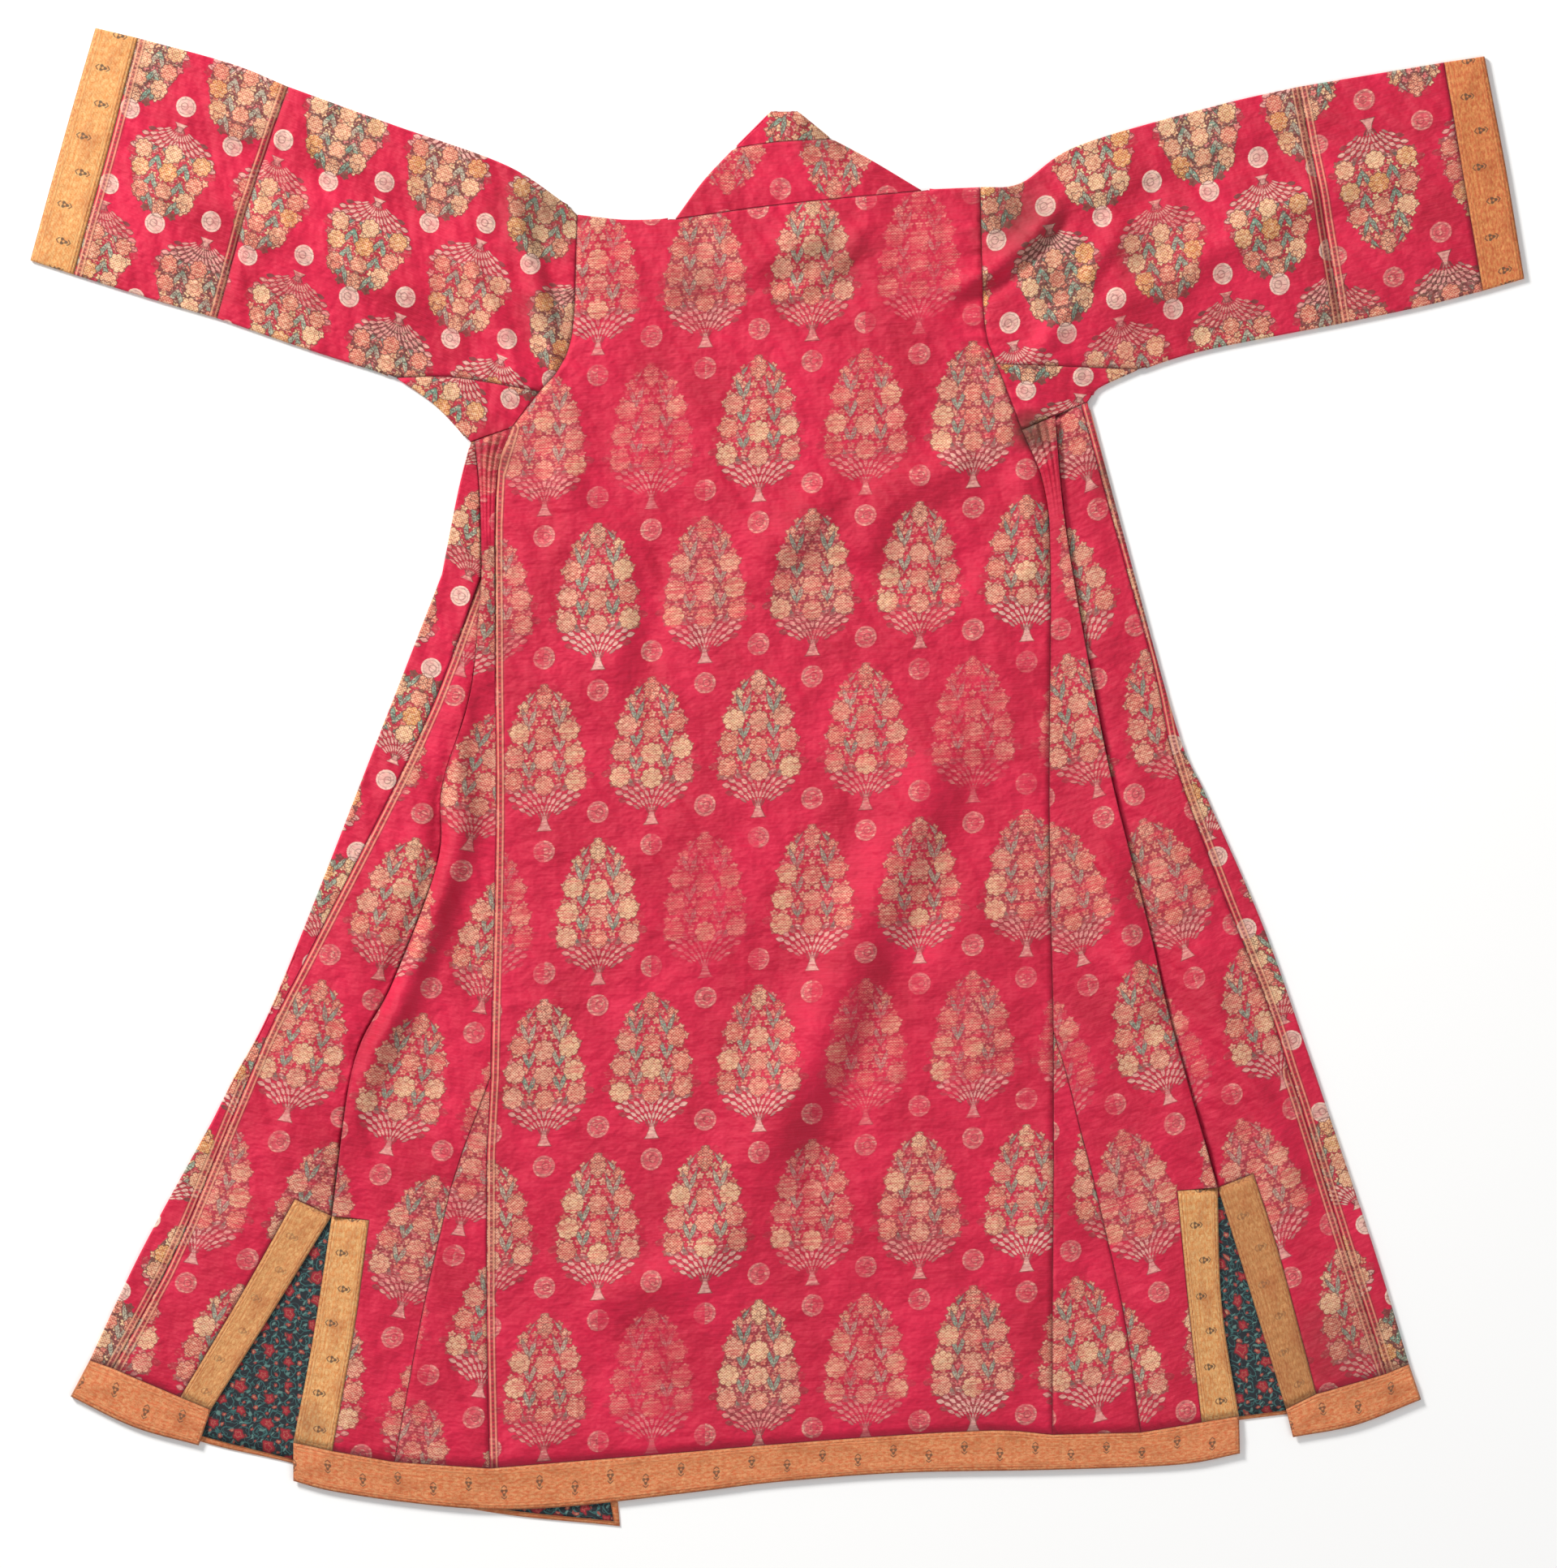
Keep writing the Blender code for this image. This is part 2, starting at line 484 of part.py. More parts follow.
def new_piece(name, grids, cloth, wall):
    """One object: its grids welded together and given their wall."""
    mesh = bpy.data.meshes.new(name)
    shape = bmesh.new()
    for grid in grids:
        rows, columns = grid.shape[:2]
        corners = [[shape.verts.new(tuple(point * MM)) for point in row] for row in grid]
        for row in range(rows - 1):
            for column in range(columns - 1):
                shape.faces.new((corners[row][column], corners[row + 1][column],
                                 corners[row + 1][column + 1], corners[row][column + 1]))
    bmesh.ops.remove_doubles(shape, verts=shape.verts, dist=2e-6)
    bmesh.ops.recalc_face_normals(shape, faces=shape.faces)
    shape.to_mesh(mesh)
    shape.free()
    mesh.shade_smooth()
    piece = bpy.data.objects.new(name, mesh)
    bpy.data.collections[COLLECTION].objects.link(piece)
    mesh.materials.append(CLOTH_MATERIALS[cloth])
    thick = piece.modifiers.new("wall", "SOLIDIFY")
    thick.thickness = wall * MM
    thick.offset = 0.0
    thick.use_even_offset = True
    thick.use_rim = True
    return piece


def make_materials():
    made = {}
    for name, (colour, roughness) in CLOTHS.items():
        cloth = bpy.data.materials.new(name)
        cloth.use_nodes = True
        shader = cloth.node_tree.nodes["Principled BSDF"]
        shader.inputs["Base Color"].default_value = (*colour, 1.0)
        shader.inputs["Roughness"].default_value = roughness
        shader.inputs["Metallic"].default_value = 0.0
        made[name] = cloth
    return made


def upper_panel(left, right, top, bottom, pointed=False, gathers=None):
    return Panel(left, right, top, bottom, UPPER_LEVEL, pointed, gathers)


def lower_panel(left, right, top, bottom):
    return Panel(left, right, top, bottom, LOWER_LEVEL)


def flat_piece(name, cloth, left, right, top, bottom, pointed=False):
    """A piece that is all in the upper layer."""
    panel = upper_panel(left, right, top, bottom, pointed, GATHERS.get(name))
    new_piece(name, [panel.grid], cloth, WALL)


def turned_grids(upper, lower, side):
    """The folds that join two panels along the same side."""
    hint = {"left": (-1, 0), "right": (1, 0), "top": (0, 1), "bottom": (0, -1)}[side]
    pairs = zip(upper.folded_edges(side), lower.folded_edges(side))
    return [turn_grid(above, below, hint) for above, below in pairs]


def folded_piece(name, cloth, upper, lowers):
    """A piece that turns under. lowers is a list of (panel underneath, side where it turns)."""
    grids = [upper.grid]
    for lower, side in lowers:
        grids.append(lower.grid)
        grids.extend(turned_grids(upper, lower, side))
    new_piece(name, grids, cloth, WALL)


def tube_piece(name, cloth, left, right, top, bottom):
    """A sleeve piece: the same shape in both layers, joined by the folds along it."""
    upper = upper_panel(left, right, top, bottom)
    lower = lower_panel(left, right, top, bottom)
    grids = [upper.grid, lower.grid]
    for side in ("top", "bottom"):
        grids.extend(turned_grids(upper, lower, side))
    new_piece(name, grids, cloth, WALL)


def make_back():
    """The back, cut in one with a strip that turns over each shoulder."""
    shoulder_left = ["fold:shoulder_left", "shoulder_end_left"]
    shoulder_right = ["shoulder_end_right", "fold:shoulder_right"]
    back = upper_panel(["armhole_left", "armhole_low_left", "back_seam_left", "back_low_left",
                        "back_slit_left", "back_hem_left"],
                       ["armhole_right", "armhole_low_right", "back_seam_right",
                        "back_low_right", "back_slit_right", "back_hem_right"],
                       shoulder_left + ["neck"] + shoulder_right, ["hem_back"])
    strip_left = lower_panel(["armhole_start_left"], ["band_start_left"], shoulder_left,
                             ["strip_foot_left"])
    strip_right = lower_panel(["band_start_right"], ["armhole_start_right"], shoulder_right,
                              ["strip_foot_right"])
    grids = [back.grid, strip_left.grid, strip_right.grid]
    under = strip_left.folded_edges("top") + strip_right.folded_edges("top")
    for above, below in zip(back.folded_edges("top"), under):
        grids.append(turn_grid(above, below, (0, 1)))
    new_piece("back_center", grids, "brocade", WALL)


def make_sides():
    flat_piece("side_back_left", "brocade",
               ["pleat_high_left", "pleat_left", "slit_top_inner_left", "slit_seam_inner_left"],
               ["back_seam_left", "gore_left", "gore_slit_left", "gore_hem_left"],
               ["side_top_left"], ["hem_side_left"])
    flat_piece("side_back_right", "brocade",
               ["back_seam_right", "gore_right", "gore_slit_right", "gore_hem_right"],
               ["pleat_right", "-slit_top_inner_right", "slit_seam_inner_right"],
               ["side_top_right"], ["hem_side_right"])
    flat_piece("side_front_left", "brocade",
               ["front_seam_left", "front_slit_seam_left", "front_hem_seam_left"],
               ["pleat_left", "-slit_top_outer_left", "slit_seam_outer_left"],
               None, ["front_side_hem_left"], pointed=True)
    flat_piece("side_front_right", "brocade",
               ["pleat_right", "slit_top_outer_right", "slit_seam_outer_right"],
               ["front_seam_right", "front_slit_seam_right", "front_hem_seam_right"],
               ["front_side_top_right"], ["front_side_hem_right"])
    flat_piece("gore_left", "brocade", ["gore_left", "gore_slit_left", "gore_hem_left"],
               ["back_low_left", "back_slit_left", "back_hem_left"],
               None, ["hem_gore_left"], pointed=True)
    flat_piece("gore_right", "brocade", ["back_low_right", "back_slit_right", "back_hem_right"],
               ["gore_right", "gore_slit_right", "gore_hem_right"],
               None, ["hem_gore_right"], pointed=True)


def make_fronts():
    """Each front lies underneath, turns over the outer fold and ends at a seam on top."""
    folds_left = ["fold:outline_high_left", "fold:outline_left", "fold:outline_slit_left",
                   "fold:outline_hem_left"]
    upper = upper_panel(folds_left,
                        ["pleat_high_left", "front_seam_left", "front_slit_seam_left",
                         "front_hem_seam_left"],
                        ["sliver_top_left"], ["front_hem_left"])
    lower = lower_panel(["armhole_rest_left", "armhole_low_left", "-gusset_foot_left"] + folds_left,
                        ["band_seam_left"], ["front_top_left"], ["under_hem_left"])
    folded_piece("front_left", "brocade", upper, [(lower, "left")])
    folds_right = ["fold:outline_right", "fold:outline_slit_right",
                   "fold:outline_hem_right"]
    upper = upper_panel(["front_seam_right", "front_slit_seam_right", "front_hem_seam_right"],
                        folds_right,
                        ["sliver_top_right"], ["front_hem_right"])
    lower = lower_panel(["band_seam_right"],
                        ["armhole_rest_right", "armhole_low_right", "gusset_foot_right"] + folds_right,
                        ["front_top_right"], ["under_hem_right"])
    folded_piece("front_right", "brocade", upper, [(lower, "right")])


def make_front_bands():
    left = lower_panel(["band_start_left", "band_seam_left"], ["front_edge_left"],
                       ["collar_foot_left"], ["band_foot_left"])
    new_piece("front_band_left", [left.grid], "band_silk", WALL)
    right = lower_panel(["front_edge_right"], ["band_start_right", "band_seam_right"],
                        ["collar_foot_right"], ["band_foot_right"])
    new_piece("front_band_right", [right.grid], "band_silk", WALL)


def make_hem_bands():
    flat_piece("hem_band_back", "band_silk", ["hem_end_left"], ["hem_end_right"], HEM_SEAMS,
               ["hem_edge"])
    upper = upper_panel(["fold:front_hem_fold_left"], ["front_hem_end_left"],
                        ["front_hem_left", "front_side_hem_left", "front_slit_hem_left"],
                        ["front_hem_edge_left"])
    lower = lower_panel(["fold:front_hem_fold_left"], ["under_end_left"],
                        ["under_hem_left", "band_foot_left"], ["under_edge_left"])
    folded_piece("hem_band_front_left", "band_silk", upper, [(lower, "left")])
    upper = upper_panel(["front_hem_end_right"], ["fold:front_hem_fold_right"],
                        ["front_slit_hem_right", "front_side_hem_right", "front_hem_right"],
                        ["front_hem_edge_right"])
    lower = lower_panel(["under_end_right"], ["fold:front_hem_fold_right"],
                        ["band_foot_right", "under_hem_right"], ["under_edge_right"])
    folded_piece("hem_band_front_right", "band_silk", upper, [(lower, "right")])


def make_slit_bands():
    flat_piece("slit_band_outer_left", "band_silk", ["slit_seam_outer_left"],
               ["slit_edge_outer_left"], ["slit_top_outer_left"], ["front_slit_hem_left"])
    flat_piece("slit_band_inner_left", "band_silk", ["slit_edge_inner_left"],
               ["slit_seam_inner_left"], ["slit_top_inner_left"], ["hem_slit_left"])
    flat_piece("slit_band_inner_right", "band_silk", ["slit_seam_inner_right"],
               ["slit_edge_inner_right"], ["slit_top_inner_right"], ["hem_slit_right"])
    flat_piece("slit_band_outer_right", "band_silk", ["slit_edge_outer_right"],
               ["slit_seam_outer_right"], ["slit_top_outer_right"], ["front_slit_hem_right"])


def make_linings():
    """The fronts' lining, only where the slits and the hem's corner show it."""
    left = Panel(["lining_outer_left"], ["lining_inner_left"], ["lining_top_left"],
                 ["lining_hem_left"], LINING_LEVEL)
    new_piece("lining_front_left", [left.grid], "lining", LINING_WALL)
    right = Panel(["lining_inner_right"], ["lining_outer_right"], ["lining_top_right"],
                  ["lining_hem_right"], LINING_LEVEL)
    new_piece("lining_front_right", [right.grid], "lining", LINING_WALL)


def make_gussets():
    for side, left, right, turned in (
            ("left", ["fold:gusset_fold_left", "gusset_hook_left"], ["armhole_low_left"], "left"),
            ("right", ["armhole_low_right"], ["fold:gusset_fold_right", "gusset_hook_right"],
             "right")):
        top, bottom = ["gusset_seam_" + side], ["gusset_foot_" + side]
        upper = upper_panel(left, right, top, bottom)
        lower = lower_panel(left, right, top, bottom)
        folded_piece("gusset_" + side, "brocade", upper, [(lower, turned)])


def make_sleeves():
    tube_piece("sleeve_upper_left", "brocade", ["piece_seam_left"], ["armhole_left"],
               ["fold:sleeve_top_left", "sleeve_crown_left"],
               ["fold:sleeve_under_left", "sleeve_tip_left", "gusset_seam_left"])
    tube_piece("sleeve_lower_left", "brocade", ["cuff_seam_left"], ["piece_seam_left"],
               ["fold:forearm_top_left"], ["fold:forearm_under_left"])
    tube_piece("cuff_band_left", "band_silk", ["cuff_edge_left"], ["cuff_seam_left"],
               ["fold:cuff_top_left"], ["fold:cuff_under_left"])
    tube_piece("sleeve_upper_right", "brocade", ["armhole_right"], ["piece_seam_right"],
               ["fold:sleeve_top_right"],
               ["gusset_seam_right", "sleeve_tip_right", "fold:sleeve_under_right"])
    tube_piece("sleeve_lower_right", "brocade", ["piece_seam_right"], ["cuff_seam_right"],
               ["fold:forearm_top_right"], ["fold:forearm_under_right"])
    tube_piece("cuff_band_right", "band_silk", ["cuff_seam_right"], ["cuff_edge_right"],
               ["fold:cuff_top_right"], ["fold:cuff_under_right"])


def make_collar():
    """The collar stands up from the neck and turns under along both slanted folds."""
    upper = upper_panel(["fold:-collar_fold_left"], ["fold:-collar_fold_right"], ["collar_seam"],
                        ["neck"])
    lower_left = lower_panel(["fold:-collar_fold_left"], ["-collar_flap_left"],
                             ["collar_head_left"], ["collar_foot_left"])
    lower_right = lower_panel(["-collar_flap_right"], ["fold:-collar_fold_right"],
                              ["collar_head_right"], ["collar_foot_right"])
    folded_piece("collar", "brocade", upper, [(lower_left, "left"), (lower_right, "right")])
    upper = upper_panel(["fold:-collar_tip_left"], ["fold:-collar_tip_right"], ["collar_tip"],
                        ["collar_seam"])
    lower_left = lower_panel(["fold:-collar_tip_left"], ["-tip_flap_left"],
                             ["tip_head_left"], ["collar_head_left"])
    lower_right = lower_panel(["-tip_flap_right"], ["fold:-collar_tip_right"],
                              ["tip_head_right"], ["collar_head_right"])
    folded_piece("collar_band", "brocade", upper, [(lower_left, "left"), (lower_right, "right")])


clear_scene()
coat = bpy.data.collections.new(COLLECTION)
bpy.context.scene.collection.children.link(coat)
CLOTH_MATERIALS = make_materials()
make_back()
make_sides()
make_fronts()
make_front_bands()
make_hem_bands()
make_slit_bands()
make_linings()
make_gussets()
make_sleeves()
make_collar()
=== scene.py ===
"""The looks of a silk coat laid face down: dense cloth shells on its solids' form, woven
brocade, orange bands and a printed lining, seen from straight above in soft light.

Tables are in millimetres, as in the part: X to the right of the photograph, Y towards the
shoulders, Z up from the surface that the coat lies on.
"""
import math

import bmesh
import bpy
import numpy as np
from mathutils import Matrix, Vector


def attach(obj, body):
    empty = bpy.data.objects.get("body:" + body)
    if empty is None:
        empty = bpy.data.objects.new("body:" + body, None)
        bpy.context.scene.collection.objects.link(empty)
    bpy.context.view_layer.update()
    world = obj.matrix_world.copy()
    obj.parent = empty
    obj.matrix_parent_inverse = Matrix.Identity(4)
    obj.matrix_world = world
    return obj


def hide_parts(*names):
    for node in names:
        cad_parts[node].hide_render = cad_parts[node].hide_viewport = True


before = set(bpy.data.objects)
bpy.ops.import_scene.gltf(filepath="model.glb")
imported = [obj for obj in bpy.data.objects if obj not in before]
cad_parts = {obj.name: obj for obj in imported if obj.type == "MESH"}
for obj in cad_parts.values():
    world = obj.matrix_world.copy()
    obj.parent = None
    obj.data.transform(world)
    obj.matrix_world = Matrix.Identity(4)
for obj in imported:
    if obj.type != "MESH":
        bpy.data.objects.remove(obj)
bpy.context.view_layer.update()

# Sizes, in millimetres
WALL = 1.2                 # cloth of the layers, inside the part's walls
LINING_WALL = 0.8
SEAM_GAP = 0.3
TURN = 1.5
TURN_STEPS = 8
LOWER_LEVEL = 0.7
UPPER_LEVEL = 4.0
LINING_LEVEL = 2.2
BODY_RISE = 3.5
EDGE_REACH = 60.0
APEX_STEP = 3.0
UNDER_COLUMNS = 12
STRIP_STEPS = {"left": 4, "right": 3}
DENSE = 5                  # steps here for each step of the part's grids
MM = 0.001

SIDES = ("left", "right")
COLLECTION = "silk_coat_looks"

# Seams and edges. Columns: name, steps along it, route (x, y)
SEAMS = [
    ("shoulder_left", 3, [(-197, 554), (-150, 549), (-108, 550)]),
    ("shoulder_end_left", 1, [(-108, 550), (-100, 550)]),
    ("neck", 10, [(-100, 550), (3, 564), (142, 578)]),
    ("shoulder_end_right", 1, [(142, 578), (150, 579)]),
    ("shoulder_right", 2, [(150, 579), (200, 581)]),
    ("armhole_left", 8, [(-197, 554), (-201, 446), (-213, 406), (-234, 380)]),
    ("armhole_low_left", 3, [(-234, 380), (-262, 344)]),
    ("armhole_right", 8, [(200, 581), (204, 450), (216, 407)]),
    ("armhole_low_right", 3, [(216, 407), (228, 376), (241, 342)]),

    ("back_seam_left", 13, [(-262, 344), (-277, 290), (-278, 137), (-277, -45), (-282, -294)]),
    ("back_seam_right", 13, [(241, 342), (263, 285), (269, 206), (268, -34), (272, -250)]),
    ("back_low_left", 3, [(-282, -294), (-286, -370)]),
    ("back_slit_left", 2, [(-286, -370), (-286, -406)]),
    ("back_hem_left", 5, [(-286, -406), (-286, -540), (-283, -680)]),
    ("back_low_right", 3, [(272, -250), (272, -340)]),
    ("back_slit_right", 2, [(272, -340), (272, -380)]),
    ("back_hem_right", 5, [(272, -380), (271, -500), (271, -647)]),
    ("gore_left", 3, [(-282, -294), (-296, -332), (-309, -366)]),
    ("gore_slit_left", 2, [(-309, -366), (-322, -406)]),
    ("gore_hem_left", 5, [(-322, -406), (-349, -525), (-377, -674)]),
    ("gore_right", 3, [(272, -250), (287, -300), (298, -345)]),
    ("gore_slit_right", 2, [(298, -345), (309, -386)]),
    ("gore_hem_right", 5, [(309, -386), (341, -526), (358, -645)]),

    ("side_top_left", 14, [(-298, 331.4), (-262, 344)]),
    ("side_top_right", 14, [(241, 342), (273.5, 356)]),
    ("pleat_high_left", 4, [(-298, 331.4), (-293, 278), (-291, 200)]),
    ("pleat_left", 12, [(-291, 200), (-302, 83), (-330, -10), (-334, -83), (-378, -201),
                        (-417, -282), (-439, -432)]),
    ("pleat_right", 16, [(273.5, 356), (282, 260), (300, 150), (329, 0), (368, -154), (386, -234),
                         (434, -404)]),
    ("front_seam_left", 12, [(-291, 200), (-349, 48), (-455, -161), (-496, -240), (-522, -300)]),
    ("front_slit_seam_left", 2, [(-522, -300), (-538, -338)]),
    ("front_hem_seam_left", 5, [(-538, -338), (-594, -470), (-654, -582)]),
    ("front_seam_right", 16, [(299.5, 367.2), (335, 238), (372, 105), (391, 18), (437, -108),
                              (482, -220), (505, -290)]),
    ("front_slit_seam_right", 2, [(505, -290), (516, -323)]),
    ("front_hem_seam_right", 5, [(516, -323), (562, -470), (600, -587)]),
    ("sliver_top_left", 2, [(-302, 330), (-298, 331.4)]),
    ("front_side_top_right", 4, [(273.5, 356), (299.5, 367.2)]),
    ("sliver_top_right", 2, [(299.5, 367.2), (306, 370)]),

    ("outline_high_left", 4, [(-302, 330), (-314, 282), (-330, 200)]),
    ("outline_left", 12, [(-330, 200), (-390, 46), (-491, -210), (-537, -300)]),
    ("outline_slit_left", 2, [(-537, -300), (-556, -338)]),
    ("outline_hem_left", 5, [(-556, -338), (-626, -466), (-677, -574)]),
    ("outline_right", 16, [(306, 370), (341, 238), (394, 46), (422, -18), (478, -146),
                           (529, -290)]),
    ("outline_slit_right", 2, [(529, -290), (540, -323)]),
    ("outline_hem_right", 5, [(540, -323), (588, -466), (622, -578)]),

    ("slit_top_outer_left", 2, [(-475, -415), (-439, -432)]),
    ("slit_seam_outer_left", 5, [(-475, -415), (-526, -506), (-588, -610)]),
    ("slit_edge_outer_left", 5, [(-439, -432), (-503, -536), (-558, -623)]),
    ("slit_top_inner_left", 2, [(-439, -432), (-402, -436)]),
    ("slit_edge_inner_left", 5, [(-439, -432), (-458, -555), (-477, -655)]),
    ("slit_seam_inner_left", 5, [(-402, -436), (-416, -540), (-438, -663)]),
    ("slit_top_inner_right", 2, [(394, -407), (434, -404)]),
    ("slit_seam_inner_right", 5, [(394, -407), (405, -519), (418, -635)]),
    ("slit_edge_inner_right", 5, [(434, -404), (438, -519), (455, -629)]),
    ("slit_top_outer_right", 2, [(434, -404), (469, -390)]),
    ("slit_edge_outer_right", 5, [(434, -404), (463, -497), (501, -622)]),
    ("slit_seam_outer_right", 5, [(469, -390), (494, -468), (531, -607)]),

    ("hem_slit_left", 2, [(-477, -655), (-438, -663)]),
    ("hem_side_left", 14, [(-438, -663), (-377, -674)]),
    ("hem_gore_left", 3, [(-377, -674), (-283, -680)]),
    ("hem_back", 17, [(-283, -680), (-122, -667), (42, -653), (205, -643), (271, -647)]),
    ("hem_gore_right", 3, [(271, -647), (358, -645)]),
    ("hem_side_right", 14, [(358, -645), (418, -635)]),
    ("hem_slit_right", 2, [(418, -635), (455, -629)]),
    ("hem_end_left", 2, [(-477, -655), (-477, -693)]),
    ("hem_end_right", 2, [(455, -629), (456, -666)]),
    ("front_hem_left", 2, [(-677, -574), (-654, -582)]),
    ("front_side_hem_left", 4, [(-654, -582), (-588, -610)]),
    ("front_slit_hem_left", 2, [(-588, -610), (-558, -623)]),
    ("front_hem_edge_left", 8, [(-696, -610), (-634, -640), (-570, -658)]),
    ("front_hem_fold_left", 2, [(-677, -574), (-696, -610)]),
    ("front_hem_end_left", 2, [(-558, -623), (-570, -658)]),
    ("front_slit_hem_right", 2, [(501, -622), (531, -607)]),
    ("front_side_hem_right", 4, [(531, -607), (600, -587)]),
    ("front_hem_right", 2, [(600, -587), (622, -578)]),
    ("front_hem_edge_right", 8, [(508, -650), (570, -638), (634, -613)]),
    ("front_hem_fold_right", 2, [(622, -578), (634, -613)]),
    ("front_hem_end_right", 2, [(501, -622), (508, -650)]),

    ("gusset_seam_left", 6, [(-375, 394), (-318, 394), (-234, 380)]),
    ("gusset_fold_left", 2, [(-375, 394), (-338, 368), (-308, 337)]),
    ("gusset_hook_left", 1, [(-308, 337), (-302, 330)]),
    ("gusset_foot_left", 6, [(-302, 330), (-262, 344)]),
    ("gusset_seam_right", 6, [(216, 407), (278, 405), (355, 402)]),
    ("gusset_fold_right", 2, [(355, 402), (318, 385), (310, 376)]),
    ("gusset_hook_right", 1, [(310, 376), (306, 370)]),
    ("gusset_foot_right", 6, [(241, 342), (306, 370)]),
    ("sleeve_top_left", 9, [(-482, 680), (-380, 643), (-268, 603), (-206, 563)]),
    ("sleeve_crown_left", 1, [(-206, 563), (-197, 554)]),
    ("sleeve_under_left", 3, [(-552, 453), (-462, 422), (-384, 397)]),
    ("sleeve_tip_left", 1, [(-384, 397), (-375, 394)]),
    ("piece_seam_left", 8, [(-482, 680), (-517, 575), (-552, 453)]),
    ("forearm_top_left", 5, [(-630, 728), (-539, 703), (-482, 680)]),
    ("forearm_under_left", 5, [(-693, 496), (-620, 473), (-552, 453)]),
    ("cuff_seam_left", 8, [(-630, 728), (-656, 628), (-693, 496)]),
    ("cuff_top_left", 2, [(-672, 738), (-630, 728)]),
    ("cuff_under_left", 2, [(-736, 510), (-693, 496)]),
    ("cuff_edge_left", 8, [(-672, 738), (-702, 634), (-736, 510)]),
    ("sleeve_top_right", 10, [(200, 581), (240, 585), (297, 622), (435, 662), (514, 680)]),
    ("sleeve_tip_right", 1, [(355, 402), (364, 404.6)]),
    ("sleeve_under_right", 3, [(364, 404.6), (424, 422), (556, 448)]),
    ("piece_seam_right", 8, [(514, 680), (536, 565), (556, 448)]),
    ("forearm_top_right", 5, [(514, 680), (657, 704)]),
    ("forearm_under_right", 5, [(556, 448), (632, 464), (695, 480)]),
    ("cuff_seam_right", 8, [(657, 704), (676, 590), (695, 480)]),
    ("cuff_top_right", 2, [(657, 704), (697, 710)]),
    ("cuff_under_right", 2, [(695, 480), (736, 492)]),
    ("cuff_edge_right", 8, [(697, 710), (718, 600), (736, 492)]),

    ("collar_fold_left", 5, [(-100, 550), (-72, 588), (-42, 620)]),
    ("collar_fold_right", 5, [(142, 578), (92, 608), (53, 629)]),
    ("collar_seam", 10, [(-42, 620), (0, 626), (53, 629)]),
    ("collar_tip_left", 3, [(-42, 620), (-6, 656)]),
    ("collar_tip_right", 3, [(53, 629), (20, 656)]),
    ("collar_tip", 10, [(-6, 656), (20, 656)]),
]

# Hidden edges of the layer underneath. Columns as above
UNDER_SEAMS = [
    ("collar_flap_left", 5, [(-48, 552), (-20, 595), (0, 625)]),
    ("collar_flap_right", 5, [(92, 574), (40, 606), (8, 626)]),
    ("tip_flap_left", 3, [(0, 625), (5, 656)]),
    ("tip_flap_right", 3, [(8, 626), (9, 656)]),
    ("collar_foot_left", 3, [(-100, 550), (-48, 552)]),
    ("collar_foot_right", 3, [(92, 574), (142, 578)]),
    ("collar_head_left", 3, [(-42, 620), (0, 625)]),
    ("collar_head_right", 3, [(8, 626), (53, 629)]),
    ("tip_head_left", 3, [(-6, 656), (5, 656)]),
    ("tip_head_right", 3, [(9, 656), (20, 656)]),
    ("band_start_left", 1, [(-100, 550), (-101, 528)]),
    ("band_start_right", 1, [(142, 578), (142, 556)]),
    ("band_seam_left", 39, [(-101, 528), (-82, 286), (-126, -114), (-166, -434), (-196, -694)]),
    ("band_seam_right", 39, [(142, 556), (142, 286), (146, -114), (146, -640)]),
    ("band_foot_left", 3, [(-196, -694), (-158, -702)]),
    ("band_foot_right", 3, [(104, -637), (146, -640)]),
    ("front_edge_left", 40, [(-48, 552), (-42, 286), (-86, -114), (-126, -434), (-158, -702)]),
    ("front_edge_right", 40, [(92, 574), (102, 286), (106, -114), (104, -637)]),
    ("under_hem_left", 12, [(-677, -574), (-560, -617), (-470, -640), (-295, -680), (-196, -694)]),
    ("under_hem_right", 12, [(146, -640), (226, -631), (400, -606), (507, -592), (622, -578)]),
    ("under_edge_left", 15, [(-696, -610), (-570, -654), (-477, -676), (-301, -721), (-155, -738)]),
    ("under_edge_right", 15, [(106, -674), (226, -667), (407, -640), (507, -627), (634, -613)]),
    ("under_end_left", 2, [(-158, -702), (-155, -738)]),
    ("under_end_right", 2, [(104, -637), (106, -674)]),
    ("lining_top_left", 12, [(-480, -392), (-400, -400), (-290, -570), (-176, -650)]),
    ("lining_outer_left", 6, [(-480, -392), (-540, -520), (-598, -636)]),
    ("lining_hem_left", 12, [(-598, -636), (-570, -648), (-477, -672), (-301, -716), (-161, -733)]),
    ("lining_inner_left", 6, [(-176, -650), (-161, -733)]),
    ("lining_top_right", 4, [(398, -376), (478, -368)]),
    ("lining_inner_right", 6, [(398, -376), (402, -637)]),
    ("lining_hem_right", 4, [(402, -637), (507, -623), (570, -617)]),
    ("lining_outer_right", 6, [(478, -368), (510, -470), (570, -617)]),
]

# Seams that start at a point, with a short first step
POINTED = {"back_low_left", "back_low_right", "gore_left", "gore_right",
           "pleat_left", "front_seam_left"}

# Lower edge of the back's hem band, which takes its steps from the seam above it
HEM_EDGE = [(-477, -693), (-439, -703), (-366, -714), (-285, -721), (-203, -718), (-81, -704),
            (1, -694), (123, -685), (274, -682), (395, -677), (456, -666)]
HEM_SEAMS = ["hem_slit_left", "hem_side_left", "hem_gore_left", "hem_back", "hem_gore_right",
             "hem_side_right", "hem_slit_right"]

